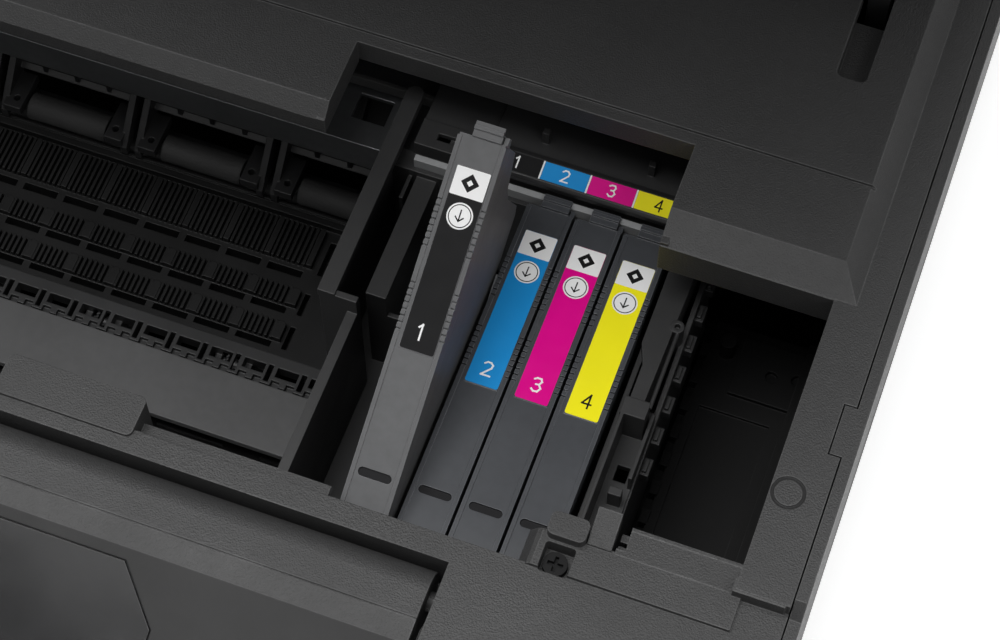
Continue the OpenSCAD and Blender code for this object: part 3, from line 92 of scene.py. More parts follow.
class Tree:
    """Short calls for building the node tree of a material or world."""

    def __init__(self, owner):
        owner.use_nodes = True
        self.nodes = owner.node_tree.nodes
        self.links = owner.node_tree.links

    def new(self, kind, **values):
        node = self.nodes.new(kind)
        for key, value in values.items():
            setattr(node, key, value)
        return node

    def link(self, output, target):
        self.links.new(output, target)

    def remap(self, value, from_min, from_max, to_min, to_max):
        node = self.new("ShaderNodeMapRange")
        self.link(value, node.inputs["Value"])
        node.inputs["From Min"].default_value = from_min
        node.inputs["From Max"].default_value = from_max
        node.inputs["To Min"].default_value = to_min
        node.inputs["To Max"].default_value = to_max
        return node.outputs["Result"]

    def math(self, operation, *terms):
        """Result of a Math node; each term is a number or an output."""
        node = self.new("ShaderNodeMath", operation=operation)
        for socket, term in zip(node.inputs, terms):
            if isinstance(term, (int, float)):
                socket.default_value = term
            else:
                self.link(term, socket)
        return node.outputs["Value"]

    def backdrop_rays(self):
        """1 for the rays that show the backdrop: camera, glossy and transmission rays."""
        rays = self.new("ShaderNodeLightPath").outputs
        seen = rays["Is Camera Ray"]
        for name in ("Is Glossy Ray", "Is Transmission Ray"):
            seen = self.math("MAXIMUM", seen, rays[name])
        return seen


class Finish(Tree):
    """Node tree of a material, with the textures and the normals of its finish."""

    def __init__(self, name):
        self.material = bpy.data.materials.new(name)
        super().__init__(self.material)
        self.sockets = self.nodes["Principled BSDF"].inputs
        self.coords = self.new("ShaderNodeTexCoord").outputs["Object"]

    def set(self, socket, value):
        """Value that is the same all over the surface."""
        self.sockets[socket].default_value = value

    def vary(self, socket, output):
        """Value that changes over the surface."""
        self.link(output, self.sockets[socket])

    def noise(self, scale, detail, coords=None):
        node = self.new("ShaderNodeTexNoise")
        node.inputs["Scale"].default_value = scale
        node.inputs["Detail"].default_value = detail
        node.inputs["Roughness"].default_value = NOISE_ROUGHNESS
        self.link(coords or self.coords, node.inputs["Vector"])
        return node.outputs["Fac"]

    def drift(self, scale, detail, low, high):
        """Value that drifts between low and high over the surface."""
        return self.remap(self.noise(scale, detail), DRIFT_FROM, DRIFT_TO, low, high)

    def cells(self, scale):
        node = self.new("ShaderNodeTexVoronoi")
        node.inputs["Scale"].default_value = scale
        self.link(self.coords, node.inputs["Vector"])
        return node.outputs["Distance"]

    def stretched(self, scale):
        """Coordinates that make a noise run in lines along x."""
        node = self.new("ShaderNodeMapping")
        node.inputs["Scale"].default_value = scale
        self.link(self.coords, node.inputs["Vector"])
        return node.outputs["Vector"]

    def mix(self, factor, a, b):
        """Colour between a and b, each a tuple or an output."""
        node = self.new("ShaderNodeMix", data_type="RGBA")
        self.link(factor, node.inputs[MIX_FACTOR])
        for socket, colour in ((MIX_A, a), (MIX_B, b)):
            if isinstance(colour, tuple):
                node.inputs[socket].default_value = colour + (1,)
            else:
                self.link(colour, node.inputs[socket])
        return node.outputs[MIX_RESULT]

    def edges(self, radius, sharp):
        """1 along edges and 0 on flats, from what a rounding does to the normal; and its normal."""
        bevel = self.new("ShaderNodeBevel", samples=BEVEL_SAMPLES)
        bevel.inputs["Radius"].default_value = radius
        dot = self.new("ShaderNodeVectorMath", operation="DOT_PRODUCT")
        self.link(bevel.outputs["Normal"], dot.inputs[0])
        self.link(self.new("ShaderNodeNewGeometry").outputs["Normal"], dot.inputs[1])
        return self.remap(dot.outputs["Value"], FLAT, sharp, 0, 1), bevel.outputs["Normal"]

    def bump(self, height, distance, strength, normal=None):
        node = self.new("ShaderNodeBump")
        node.inputs["Strength"].default_value = strength
        node.inputs["Distance"].default_value = distance
        self.link(height, node.inputs["Height"])
        if normal is not None:
            self.link(normal, node.inputs["Normal"])
        return node.outputs["Normal"]


def times(colour, factor):
    return tuple(min(1, channel * factor) for channel in colour)


# ---- Finishes of the solids ----
# Scales of the noises, in waves per metre
CLOUDS = 14
SPECKS = 420
PALE_EDGE_PATCHES = 60
SHEEN = 45
SATIN = 700
BRUSH_LINES = 90
LINE_STRETCH = (1, 14, 14)
# Depths of the bumps, in metres, and their strengths; each grain has its own depth
SATIN_DEPTH, SATIN_STRENGTH = 0.00002, 0.3
LINE_DEPTH, LINE_STRENGTH = 0.00005, 0.35
GRAIN_STRENGTH = 0.9
# A grain's height is cells with a finer noise on them
CELL_SHARE, FINER = 0.7, 1.3
# Values of the noise between which specks and the patches of the pale edges change, and how far
SPECK_FROM, SPECK_TO, SPECK_MOST = 0.35, 0.7, 0.5
PATCH_FROM, PATCH_TO, PATCH_LEAST = 0.35, 0.65, 0.3
SPECK_TINT = 0.8                     # of the base colour
WEAR_AND_HIGHLIGHT_GAIN, WEAR_AND_HIGHLIGHT_ADD = 2.2, 0.035       # how much paler than the base an edge is, as wear and as painted highlight
RUB_POLISH = 0.12                    # how much less rough it is
SHEEN_LESS, SHEEN_MORE = 0.05, 0.06  # how far the roughness drifts down and up
COAT_ROUGHNESS = 0.12


def moulded(name, base, rough, soft=0.0006, wear_and_highlight=0.35, cloud=0.18, specular=0.5, sharp=0.8,
            grain=0.0, grain_scale=900, coat=0.0, metallic=0.0, brushed=False):
    """Plastic, rubber or metal: cloudy and speckled tint, rounded edges paled as wear and as
    painted highlight, and a grain.

    soft, the radius of the edges, and grain, its depth, are in metres. sharp is the cosine
    between the true and the rounded normal at which an edge is fully paled, as wear and painted
    highlight.
    """
    finish = Finish(name)
    clouds = finish.mix(finish.noise(CLOUDS, 4), times(base, 1 - cloud), times(base, 1 + cloud))
    specks = finish.remap(finish.noise(SPECKS, 2), SPECK_FROM, SPECK_TO, 0, SPECK_MOST)
    tint = finish.mix(specks, clouds, times(base, SPECK_TINT))
    # Pale edges: partly wear, partly painted highlight standing in for the light that rounded
    # crests and rims catch
    edge, normal = finish.edges(soft, sharp)
    patches = finish.remap(finish.noise(PALE_EDGE_PATCHES, 3), PATCH_FROM, PATCH_TO, PATCH_LEAST, 1)
    worn_and_lit = finish.math("MULTIPLY", finish.math("MULTIPLY", edge, patches), wear_and_highlight)
    rubbed_and_lit = tuple(min(1, channel * WEAR_AND_HIGHLIGHT_GAIN + WEAR_AND_HIGHLIGHT_ADD) for channel in base)
    finish.vary("Base Color", finish.mix(worn_and_lit, tint, rubbed_and_lit))
    sheen = finish.drift(SHEEN, 3, rough - SHEEN_LESS, rough + SHEEN_MORE)
    polish = finish.math("MULTIPLY", worn_and_lit, RUB_POLISH)
    finish.vary("Roughness", finish.math("SUBTRACT", sheen, polish))
    if brushed:
        lines = finish.noise(BRUSH_LINES, 3, finish.stretched(LINE_STRETCH))
        normal = finish.bump(lines, LINE_DEPTH, LINE_STRENGTH, normal)
    elif grain:
        leather = finish.math("MULTIPLY", finish.cells(grain_scale), CELL_SHARE)
        height = finish.math("ADD", leather, finish.noise(grain_scale * FINER, 2))
        normal = finish.bump(height, grain, GRAIN_STRENGTH, normal)
    else:
        normal = finish.bump(finish.noise(SATIN, 2), SATIN_DEPTH, SATIN_STRENGTH, normal)
    finish.vary("Normal", normal)
    finish.set("Metallic", metallic)
    finish.set("Specular IOR Level", specular)
    if coat:
        finish.set("Coat Weight", coat)
        finish.set("Coat Roughness", COAT_ROUGHNESS)
    return finish.material


def float_glass():
    """Clear glass with a faint green tint."""
    finish = Finish("float_glass")
    finish.set("Transmission Weight", 1)
    finish.set("IOR", 1.5)
    tint = finish.mix(finish.noise(20, 3), (0.86, 0.93, 0.91), (0.9, 0.95, 0.94))
    finish.vary("Base Color", tint)
    finish.vary("Roughness", finish.drift(60, 3, 0.01, 0.06))
    finish.vary("Normal", finish.bump(finish.noise(30, 2), 0.00003, 0.2))
    return finish.material


# Casings and the black plastics inside them
# Its pale edges reach even shallow creases: they are mostly painted highlight along crests and rims
case = moulded("case_grain", (0.034, 0.034, 0.0343), 0.5, soft=0.00045, wear_and_highlight=0.7, cloud=0.06,
               specular=0.27, sharp=0.982, grain=0.00011, grain_scale=2300)
smooth_case = moulded("case_smooth", (0.034, 0.034, 0.0345), 0.42, soft=0.0004, wear_and_highlight=0.5,
                      cloud=0.06, specular=0.35, sharp=0.93)
panel_face = moulded("panel_face", (0.013, 0.013, 0.0132), 0.42, soft=0.0004, wear_and_highlight=0.4,
                     cloud=0.04, specular=0.17)
gloss = moulded("display_gloss", (0.01, 0.01, 0.0106), 0.2, soft=0.0003, wear_and_highlight=0.2, cloud=0.03,
                specular=0.2)
key = moulded("key_plastic", (0.022, 0.022, 0.023), 0.38, wear_and_highlight=0.4, specular=0.4)
inner = moulded("inner_plastic", (0.024, 0.024, 0.0245), 0.45, soft=0.0004, wear_and_highlight=0.45,
                specular=0.3)
dark = moulded("dark_plastic", (0.016, 0.016, 0.0165), 0.42, soft=0.0004, wear_and_highlight=0.5, specular=0.3)
guide = moulded("guide_plastic", (0.062, 0.062, 0.063), 0.42, soft=0.0004, wear_and_highlight=0.3, specular=0.3)
# Black plastic darkened further as painted shade, for the shade under the housing
platen_black_and_shade = moulded("platen_plastic", (0.0055, 0.0055, 0.0056), 0.45, soft=0.0003, wear_and_highlight=0.6,
                       specular=0.2)
station = moulded("station_plastic", (0.006, 0.006, 0.0061), 0.6, soft=0.0004, wear_and_highlight=0.8,
                  specular=0.15)
head = moulded("head_plastic", (0.14, 0.145, 0.15), 0.35, soft=0.0004, wear_and_highlight=0.3)
hook = moulded("hook_plastic", (0.3, 0.305, 0.31), 0.4, soft=0.0002, wear_and_highlight=0.25)
star = moulded("star_wheel_plastic", (0.03, 0.03, 0.031), 0.5, soft=0.0002, wear_and_highlight=0.3)
acetal = moulded("acetal", (0.5, 0.49, 0.45), 0.4, soft=0.0003, wear_and_highlight=0.1)

# Cartridges
# The cartridges' pale edges are wear and painted highlight along their sides
body_black = moulded("ink_body_black", (0.098, 0.099, 0.102), 0.5, soft=0.00022, wear_and_highlight=0.8,
                     cloud=0.05, specular=0.2, sharp=0.93)
body_dark = moulded("ink_body_dark", (0.05, 0.053, 0.059), 0.36, soft=0.00022, wear_and_highlight=1.0,
                    cloud=0.06, specular=0.3, sharp=0.93)
# Painted shade for the faces of the grooves near the cartridges' front ends
groove_painted_shade = moulded("groove_painted_shade", (0.01, 0.01, 0.011), 0.5, soft=0.0002, wear_and_highlight=0.1,
                      specular=0.1)

# Metals, rubber, felt, film, board and glass
steel = moulded("zinc_steel", (0.16, 0.165, 0.17), 0.38, soft=0.0003, wear_and_highlight=0.5, metallic=0.9,
                brushed=True)
can = moulded("motor_can", (0.5, 0.5, 0.5), 0.3, soft=0.0004, wear_and_highlight=0.3, metallic=1, brushed=True)
brass = moulded("brass", (0.68, 0.5, 0.2), 0.3, soft=0.0002, wear_and_highlight=0.3, metallic=1, brushed=True)
black_steel = moulded("blackened_steel", (0.006, 0.006, 0.0063), 0.55, soft=0.0002, wear_and_highlight=0.3,
                      specular=0.12)
rubber = moulded("rubber", (0.016, 0.016, 0.016), 0.75, wear_and_highlight=0.2, grain=0.00006,
                 grain_scale=1600)
coated = moulded("roller_coating", (0.018, 0.018, 0.0185), 0.6, soft=0.0003, wear_and_highlight=0.3,
                 specular=0.4, grain=0.00005, grain_scale=2500)
felt = moulded("felt", (0.012, 0.012, 0.012), 0.95, wear_and_highlight=0.0, specular=0.1, grain=0.0003,
               grain_scale=1200)
pad = moulded("white_pad", (0.68, 0.68, 0.67), 0.7, wear_and_highlight=0.05, cloud=0.03, grain=0.00006)
film = moulded("film", (0.2, 0.205, 0.22), 0.25, soft=0.0001, wear_and_highlight=0.1)
board = moulded("circuit_board", (0.03, 0.13, 0.06), 0.4, soft=0.0002, wear_and_highlight=0.3, coat=0.3)
glass = float_glass()

FINISHES = (
    (case, "bottom_case top_housing left_side_cover right_side_cover rear_cover panel_shell"
     " scanner_base document_lid"),
    (smooth_case, "scanner_top_frame"),
    (gloss, "display"),
    (key, "power_button home_button arrow_pad ok_button start_button"),
    (inner, "power_supply left_edge_guide right_edge_guide carriage_shell"),
    (dark, "pinch_roller_holders star_wheel_holder power_inlet paper_cassette output_tray"
     " tray_stop label_bar scan_bar scanner_stay"),
    (guide, "exit_guide"),
    (platen_black_and_shade, "platen"),
    (station, "maintenance_station"),
    (head, "print_head"),
    (hook, "cartridge_latches"),
    (star, "star_wheels"),
    (acetal, "feed_gear idler_gear roller_bushings idler_pulley guide_pinion"),
    (body_black, "black_cartridge"),
    (body_dark, "cyan_cartridge magenta_cartridge yellow_cartridge"),
    (steel, "main_frame"),
    (can, "feed_motor carriage_motor"),
    (brass, "motor_pinion motor_pulley"),
    (black_steel, "housing_screws"),
    (rubber, "rubber_feet pinch_rollers eject_roller timing_belt cap_unit"),
    (coated, "feed_roller"),
    (felt, "ink_absorber"),
    (pad, "lid_pad"),
    (film, "encoder_strip"),
    (board, "main_board"),
    (glass, "scanner_glass"),
)
for material, names in FINISHES:
    for name in names.split():
        nodes[name].data.materials.clear()
        nodes[name].data.materials.append(material)


# ---- Places on the panel and on the cartridges, in mm ----
PANEL_SLOPE = math.radians(20)
FACE_EDGE = (0, -135, 128.5)  # middle of the upper edge of the panel's face
FACE = shift(*FACE_EDGE) @ Matrix.Rotation(PANEL_SLOPE, 4, "X")
CARTRIDGES = ("black", "cyan", "magenta", "yellow")  # as their bodies are named, from the left
CART_TOP = 110                # top of a seated cartridge
CART_REAR = -17               # its rear end
HINGE = Matrix.Translation(joints["black_lift"]["pos_m"])
LIFT = math.radians(joints["black_lift"]["range_deg"][1])
RAISED = HINGE @ Matrix.Rotation(LIFT, 4, "X") @ HINGE.inverted()  # the black one's place at rest


def cartridge_sides(body):
    """x of a cartridge's left and right side, in mm."""
    low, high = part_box(body + "_cartridge")
    return low[0] / MM, high[0] / MM


# ---- Faces with a finish of their own, and painted shade in the cartridges' grooves ----
# Ring mark sunk in the housing's margin: its middle, and the bounds of its radius and height
RING_AT = Vector((176.5, -77.9))
RING_INSIDE, RING_OUTSIDE = 2.95, 3.85
RING_LOW, RING_HIGH = 133.6, 133.98
# Groove near a cartridge's front end: bounds from its sides, its rear end and its top
GROOVE_INSET = 1.6
GROOVE_REAR, GROOVE_FRONT = 75.4, 77.8
GROOVE_HIGH, GROOVE_LOW = 0.01, 0.6
COPLANAR = 0.02


def finish_faces(node, place, material, wanted):
    """Give `material` to the faces whose centres, in mm in the frame `place`, are `wanted`."""
    obj = nodes[node]
    obj.data.materials.append(material)
    to_place = (place @ TO_METRES).inverted() @ obj.matrix_world
    for face in obj.data.polygons:
        if wanted(to_place @ face.center):
            face.material_index = len(obj.data.materials) - 1


def on_ring_mark(centre):
    from_middle = (centre.xy - RING_AT).length
    return RING_LOW < centre.z < RING_HIGH and RING_INSIDE < from_middle < RING_OUTSIDE


def in_groove(body):
    """Test for the faces of the groove near a cartridge's front end."""
    left, right = cartridge_sides(body)
    return lambda centre: (left + GROOVE_INSET < centre.x < right - GROOVE_INSET
                           and GROOVE_REAR < CART_REAR - centre.y < GROOVE_FRONT
                           and GROOVE_HIGH < CART_TOP - centre.z < GROOVE_LOW)


finish_faces("panel_shell", FACE, panel_face, lambda centre: abs(centre.z) < COPLANAR)
finish_faces("top_housing", Matrix(), panel_face, on_ring_mark)
# The faces of each cartridge's groove get painted shade
for body in CARTRIDGES:
    finish_faces(body + "_cartridge", RAISED if body == "black" else Matrix(), groove_painted_shade,
                 in_groove(body))


# ---- Print ----
def ink(name, colour, rough=0.32, specular=0.2):
    """Ink on thin film."""
    finish = Finish(name)
    cloud = 0.05
    tint = finish.mix(finish.noise(120, 3), times(colour, 1 - cloud), times(colour, 1 + cloud))
    finish.vary("Base Color", tint)
    finish.vary("Roughness", finish.drift(200, 2, rough - 0.04, rough + 0.05))
    finish.vary("Normal", finish.bump(finish.noise(900, 2), 0.00001, 0.3))
    finish.set("Specular IOR Level", specular)
    return finish.material


ink_white = ink("print_white", (0.82, 0.82, 0.82))
ink_black = ink("print_black", (0.010, 0.010, 0.0105), rough=0.5, specular=0.06)
ink_cyan = ink("print_cyan", (0.012, 0.25, 0.61))
ink_magenta = ink("print_magenta", (0.7, 0.001, 0.24))
ink_yellow = ink("print_yellow", (0.9, 0.82, 0.012))
ink_grey = ink("print_grey", (0.34, 0.34, 0.34))
COLOURS = (ink_black, ink_cyan, ink_magenta, ink_yellow)  # of the cartridges, in their order

# Plain numerals, each a list of paths on a field 3 units high
NUMERALS = {
    1: [[(0.6, 0), (0.6, 3), (0, 2.4)]],
    2: [[(0, 2.6), (0.5, 3), (1.2, 3), (1.7, 2.5), (1.6, 1.8), (0, 0), (1.8, 0)]],
    3: [[(0, 2.7), (0.5, 3), (1.3, 3), (1.6, 2.4), (1.2, 1.65), (0.6, 1.6)],
        [(1.2, 1.65), (1.75, 0.9), (1.3, 0.1), (0.5, 0), (0, 0.4)]],
    4: [[(1.3, 0), (1.3, 3), (0, 0.9), (1.8, 0.9)]],
}
NUMERAL_HEIGHT = 3
STROKE_STEP = 0.006  # from one stroke's top to the next, so that no two coincide
RING_STEPS = 36
CORNER_STEPS = 5


class Sheet:
    """Thin printed patches, built as one mesh. Sizes are in mm, in the frame `place`."""

    def __init__(self, name, place, inks):
        self.name = name
        self.place = place
        self.inks = inks
        self.bm = bmesh.new()

    def rims(self, outline, height):
        """Lower and upper corners of a plate."""
        return [[self.bm.verts.new((x, y, z)) for x, y in outline] for z in (0.0, height)]

    def patch(self, outline, height, ink_index, hole=()):
        """Closed plate; a hole has as many points as the outline."""
        low, high = self.rims(outline, height)
        hole_low, hole_high = self.rims(hole, height)
        faces = [] if hole else [high, low[::-1]]
        for i in range(len(outline)):
            j = (i + 1) % len(outline)
            faces.append((low[i], low[j], high[j], high[i]))
            if hole:
                faces.append((high[i], high[j], hole_high[j], hole_high[i]))
                faces.append((low[j], low[i], hole_low[i], hole_low[j]))
                faces.append((hole_low[j], hole_low[i], hole_high[i], hole_high[j]))
        for corners in faces:
            self.bm.faces.new(corners).material_index = ink_index

    def strokes(self, paths, width, height, ink_index):
        """Bars along the straight parts of the paths."""
        parts = [part for path in paths for part in zip(path, path[1:])]
        for number, (start, end) in enumerate(parts):
            start, end = Vector(start), Vector(end)
            along = (end - start).normalized() * width / 2
            across = Vector((-along.y, along.x))
            corners = (start - along + across, start - along - across,
                       end + along - across, end + along + across)
            self.patch(corners, height + STROKE_STEP * number, ink_index)

    def numeral(self, digit, x, y, size, width, height, ink_index):
        """Numeral with its lower left corner at x, y."""
        scale = size / NUMERAL_HEIGHT
        paths = [[(x + u * scale, y + v * scale) for u, v in path] for path in NUMERALS[digit]]
        self.strokes(paths, width, height, ink_index)

    def build(self, body, slot):
        """Make the piece, riding on a body, with the finishes of its inks; slot is not used."""
        mesh = bpy.data.meshes.new(self.name)
        self.bm.transform(self.place @ TO_METRES)
        bmesh.ops.recalc_face_normals(self.bm, faces=self.bm.faces)
        self.bm.to_mesh(mesh)
        self.bm.free()
        for material in self.inks:
            mesh.materials.append(material)
        obj = bpy.data.objects.new(self.name, mesh)
        collection.objects.link(obj)
        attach(obj, body)


def arc(x, y, radius, start, step, count):
    """Points round x, y from the angle `start`, `step` apart, both in degrees."""
    angles = [math.radians(start + step * k) for k in range(count)]
    return [(x + radius * math.cos(angle), y + radius * math.sin(angle)) for angle in angles]


def ring(x, y, radius):
    return arc(x, y, radius, 0, 360 / RING_STEPS, RING_STEPS)


def rounded(x0, x1, y0, y1, radius):
    """Rectangle with rounded corners."""
    centres = ((x1 - radius, y1 - radius), (x0 + radius, y1 - radius),
               (x0 + radius, y0 + radius), (x1 - radius, y0 + radius))
    points = []
    for quarter, (x, y) in enumerate(centres):
        points += arc(x, y, radius, 90 * quarter, 90 / CORNER_STEPS, CORNER_STEPS + 1)
    return points


# ---- Labels of the cartridges ----
LABEL_LEFT, LABEL_RIGHT = 1.9, 9.95    # sides of the label, from the cartridge's left side
LABEL_REAR, LABEL_FRONT = 6.95, 48.35  # ends of its print, from the cartridge's rear end
LABEL_RAISE = 0.14                     # above the cartridge's top
PRINT_MARGIN = 0.1                     # from the label's sides to its print
FIELD_CORNER, SQUARE_CORNER = 0.5, 0.3
SQUARE_LENGTH, SQUARE_MARGIN = 6.4, 0.05
MOTIF_DOWN = 3.2                       # middle of the motif, from the print's rear end
MOTIF_REACH, MOTIF_HOLE = 2.1, 0.75
MARK_DOWN = 10.6                       # middle of the round mark
MARK_RADIUS, RING_RADIUS, RING_HOLE = 2.95, 2.6, 2.38
ARROW_TAIL, ARROW_POINT = 1.3, -1.2    # ends of the mark's arrow, from its middle
ARROW_BARB, ARROW_STROKE = 0.9, 0.3
NUMBER_LEFT, NUMBER_UP = -0.95, 2.6    # lower left corner, from the middle of the front end
NUMBER_SIZE, NUMBER_STROKE = 3.4, 0.42
# Heights of the print's layers
FIELD = 0.06
SQUARE = 0.09
DIGIT = 0.1
MOTIF = 0.11
ARROW = 0.12
MOTIF_MIDDLE = 0.13


def lozenge(y, reach):
    """Square on its tip, with its middle at 0, y."""
    return [(reach, y), (0, y + reach), (-reach, y), (0, y - reach)]


def cartridge_label(index, body):
    """Colour field with a lozenge in a white square, an arrow in a round mark, and a number."""
    left = cartridge_sides(body)[0]
    place = shift(left + (LABEL_LEFT + LABEL_RIGHT) / 2, 0, CART_TOP + LABEL_RAISE)
    sheet = Sheet(body + "_label", RAISED @ place if body == "black" else place,
                  [COLOURS[index], ink_white, ink_black])
    colour, white, black = range(3)
    half = (LABEL_RIGHT - LABEL_LEFT) / 2 - PRINT_MARGIN
    rear = CART_REAR - LABEL_REAR
    front = CART_REAR - LABEL_FRONT
    sheet.patch(rounded(-half, half, front, rear, FIELD_CORNER), FIELD, colour)
    side = half - SQUARE_MARGIN
    square = rounded(-side, side, rear - SQUARE_LENGTH, rear - SQUARE_MARGIN, SQUARE_CORNER)
    sheet.patch(square, SQUARE, white)
    sheet.patch(lozenge(rear - MOTIF_DOWN, MOTIF_REACH), MOTIF, black)
    sheet.patch(lozenge(rear - MOTIF_DOWN, MOTIF_HOLE), MOTIF_MIDDLE, white)
    mark = rear - MARK_DOWN
    sheet.patch(ring(0, mark, MARK_RADIUS), SQUARE, white)
    sheet.patch(ring(0, mark, RING_RADIUS), MOTIF, black, hole=ring(0, mark, RING_HOLE))
    point = (0, mark + ARROW_POINT)
    barb = mark + ARROW_POINT + ARROW_BARB
    sheet.strokes([[(0, mark + ARROW_TAIL), point, (-ARROW_BARB, barb)],
                   [point, (ARROW_BARB, barb)]], ARROW_STROKE, ARROW, black)
    sheet.numeral(index + 1, NUMBER_LEFT, front + NUMBER_UP, NUMBER_SIZE, NUMBER_STROKE, DIGIT,
                  black if body == "yellow" else white)
    sheet.build(body, "cart_" + body)


for index, body in enumerate(CARTRIDGES):
    cartridge_label(index, body)


# ---- Label bar ----
BAR_FRONT = (0, -12.15, 113.33)        # front edge of the bar's tilted top
BAR_RISE = math.atan2(0.9, 5.2)
BAR_LEFT, BAR_PITCH = 86.2, 11.5       # left side of the first field, and the step to the next
BAR_GAP = 0.25                         # from a field's side to its print
BAR_INK_LOW, BAR_INK_HIGH = 0.35, 4.9  # from the front edge
LINE_HALF, LINE_PAST = 0.2, 0.05       # white line between fields: half width, reach past them
BAR_CORNER = 0.2
BAR_NUMBER_LEFT, BAR_NUMBER_UP = -0.8, 1.3  # lower left corner, from the middle of the front edge
BAR_NUMBER_SIZE, BAR_NUMBER_STROKE = 2.8, 0.36
BAR_FIELD, BAR_LINE, BAR_DIGIT = 0.05, 0.06, 0.09  # heights of the layers


def label_bar_fields():
    """A colour field and a number on the label bar for each cartridge."""
    place = shift(*BAR_FRONT) @ Matrix.Rotation(BAR_RISE, 4, "X")
    sheet = Sheet("label_bar_fields", place, [*COLOURS, ink_white])
    black, yellow, white = 0, 3, 4
    line_low, line_high = BAR_INK_LOW - LINE_PAST, BAR_INK_HIGH + LINE_PAST
    for k in range(len(COLOURS)):
        left = BAR_LEFT + k * BAR_PITCH
        right = left + BAR_PITCH
        field = rounded(left + BAR_GAP, right - BAR_GAP, BAR_INK_LOW, BAR_INK_HIGH, BAR_CORNER)
        sheet.patch(field, BAR_FIELD, k)
        if k:
            sheet.patch([(left + LINE_HALF, line_low), (left + LINE_HALF, line_high),
                         (left - LINE_HALF, line_high), (left - LINE_HALF, line_low)],
                        BAR_LINE, white)
        sheet.numeral(k + 1, (left + right) / 2 + BAR_NUMBER_LEFT, BAR_NUMBER_UP,
                      BAR_NUMBER_SIZE, BAR_NUMBER_STROKE, BAR_DIGIT,
                      black if k == yellow else white)
    sheet.build("carriage", "dark_plastic")


label_bar_fields()


# ---- Signs of the keys ----
KEY_TOP, PAD_TOP = 0.91, 0.61                  # above the panel's face
SIGN, FINE_SIGN, BOLD_SIGN = 0.05, 0.06, 0.08  # heights of the print
LEFT_KEYS, RIGHT_KEYS = -84, 84
# Middles of the keys, from the upper edge of the face
POWER_DOWN, HOME_DOWN, PAD_DOWN, START_DOWN = 40, 18, 23, 44
SIGN_STROKE, FINE_STROKE = 0.4, 0.35
# Triangles of the arrow pad: tip and base from its middle, and half the base
PAD_TIP, PAD_BASE, PAD_HALF = 10, 8, 1.6


def key_sign(name, x, down, top):
    """Grey print on a key, with its middle at x and `down` from the upper edge of the face."""
    return Sheet(name, FACE @ shift(x, -down, top), [ink_grey])


def power_sign():
    sign = key_sign("power_mark", LEFT_KEYS, POWER_DOWN, KEY_TOP)
    sign.patch(ring(0, 0, 1.9), SIGN, 0, hole=ring(0, 0, 1.5))
    sign.strokes([[(0, 0.4), (0, 2.4)]], SIGN_STROKE, BOLD_SIGN, 0)
    sign.build("power_key", "key_plastic")


def home_sign():
    sign = key_sign("home_mark", LEFT_KEYS, HOME_DOWN, KEY_TOP)
    wall, eaves, ground = 1.4, 0.3, -1.7
    roof = [(-2, 0), (0, 1.9), (2, 0)]
    left_wall = [(-wall, eaves), (-wall, ground)]
    right_wall = [(wall, eaves), (wall, ground)]
    sill = [(-wall, ground), (wall, ground)]
    sign.strokes([roof, left_wall, right_wall, sill], FINE_STROKE, FINE_SIGN, 0)
    sign.build("home_key", "key_plastic")


def arrow_signs():
    """A triangle for each direction of the arrow pad."""
    sign = key_sign("arrow_marks", RIGHT_KEYS, PAD_DOWN, PAD_TOP)
    for quarter in range(4):
        angle = math.pi / 2 * quarter
        out = Vector((math.cos(angle), math.sin(angle)))
        side = Vector((-out.y, out.x)) * PAD_HALF
        base = out * PAD_BASE
        sign.patch((out * PAD_TIP, base + side, base - side), SIGN, 0)
    sign.build("arrow_key", "key_plastic")


def select_sign():
    sign = key_sign("select_mark", RIGHT_KEYS, PAD_DOWN, KEY_TOP)
    sign.patch(ring(0, 0, 1.5), SIGN, 0, hole=ring(0, 0, 1.15))
    sign.build("ok_key", "key_plastic")


def start_sign():
    sign = key_sign("start_mark", RIGHT_KEYS, START_DOWN, KEY_TOP)
    sign.patch([(0, 2), (-1.8, 0), (0, -2), (1.8, 0)], SIGN, 0,
               hole=[(0, 1.5), (-1.3, 0), (0, -1.5), (1.3, 0)])
    sign.build("start_key", "key_plastic")


power_sign()
home_sign()
arrow_signs()
select_sign()
start_sign()


# ---- Floor, world and lamps, in metres ----
FLOOR_HALF = 3.0
FLOOR_DROP = 0.0005             # just under the feet
GLOW_FROM, GLOW_TO = 0.45, 1.6  # distances from its middle between which the floor turns white
GLOW_NEAR = 0.56                # its glow near the object, where it shows the shadow
WHITE = 1.0
AMBIENT = 0.16                  # even light of the world on the object

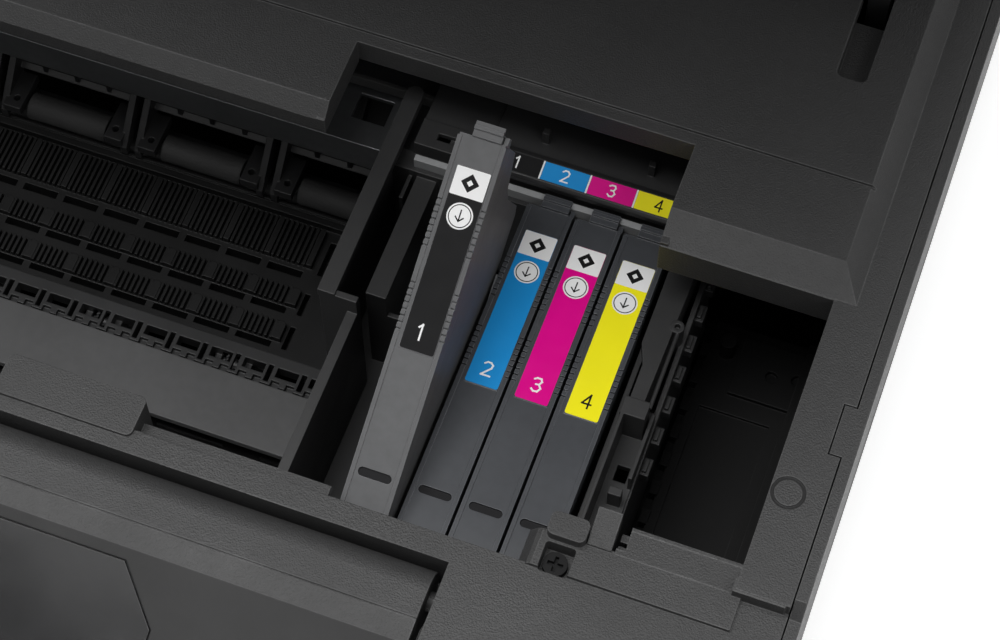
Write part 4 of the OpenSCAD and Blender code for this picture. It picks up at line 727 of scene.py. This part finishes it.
LAMPS = (
    # name, place, aim, size, watts
    ("key", (-0.3, 0.0, 2.7), (0.02, -0.05, 0.1), (2.2, 1.4), 92),
    ("fill", (1.2, -0.5, 1.4), (0, -0.05, 0.1), (1.0, 1.0), 7),
    ("left", (-1.5, 0.35, 1.1), (0, 0, 0.1), (1.0, 1.0), 6),
)


def floor():
    """White floor that keeps the object's shadow and turns into the white of the world."""
    bm = bmesh.new()
    bmesh.ops.create_grid(bm, x_segments=2, y_segments=2, size=FLOOR_HALF)
    mesh = bpy.data.meshes.new("floor")
    bm.to_mesh(mesh)
    bm.free()
    obj = bpy.data.objects.new("floor", mesh)
    obj.location = (0, 0, -FLOOR_DROP)
    collection.objects.link(obj)
    finish = Finish("floor_white")
    finish.set("Base Color", (0.92, 0.92, 0.92, 1))
    finish.set("Roughness", 0.9)
    finish.set("Specular IOR Level", 0.1)
    finish.set("Emission Color", (1, 1, 1, 1))
    distance = finish.new("ShaderNodeVectorMath", operation="LENGTH")
    finish.link(finish.coords, distance.inputs[0])
    glow = finish.remap(distance.outputs["Value"], GLOW_FROM, GLOW_TO, GLOW_NEAR, WHITE)
    finish.vary("Emission Strength", finish.math("MULTIPLY", finish.backdrop_rays(), glow))
    mesh.materials.append(finish.material)


def studio_world():
    """White backdrop, and a weak even light on the object."""
    world = bpy.data.worlds.new("studio")
    bpy.context.scene.world = world
    tree = Tree(world)
    background = tree.nodes["Background"].inputs
    background["Color"].default_value = (1, 1, 1, 1)
    tree.link(tree.remap(tree.backdrop_rays(), 0, 1, AMBIENT, WHITE), background["Strength"])


def lamp(name, place, aim, size, watts):
    """Soft rectangular lamp."""
    data = bpy.data.lights.new(name, "AREA")
    data.shape = "RECTANGLE"
    data.size, data.size_y = size
    data.energy = watts
    obj = bpy.data.objects.new(name, data)
    collection.objects.link(obj)
    obj.location = place
    obj.rotation_euler = (Vector(aim) - Vector(place)).to_track_quat("-Z", "Y").to_euler()
    obj.visible_camera = False


floor()
studio_world()
for settings in LAMPS:
    lamp(*settings)
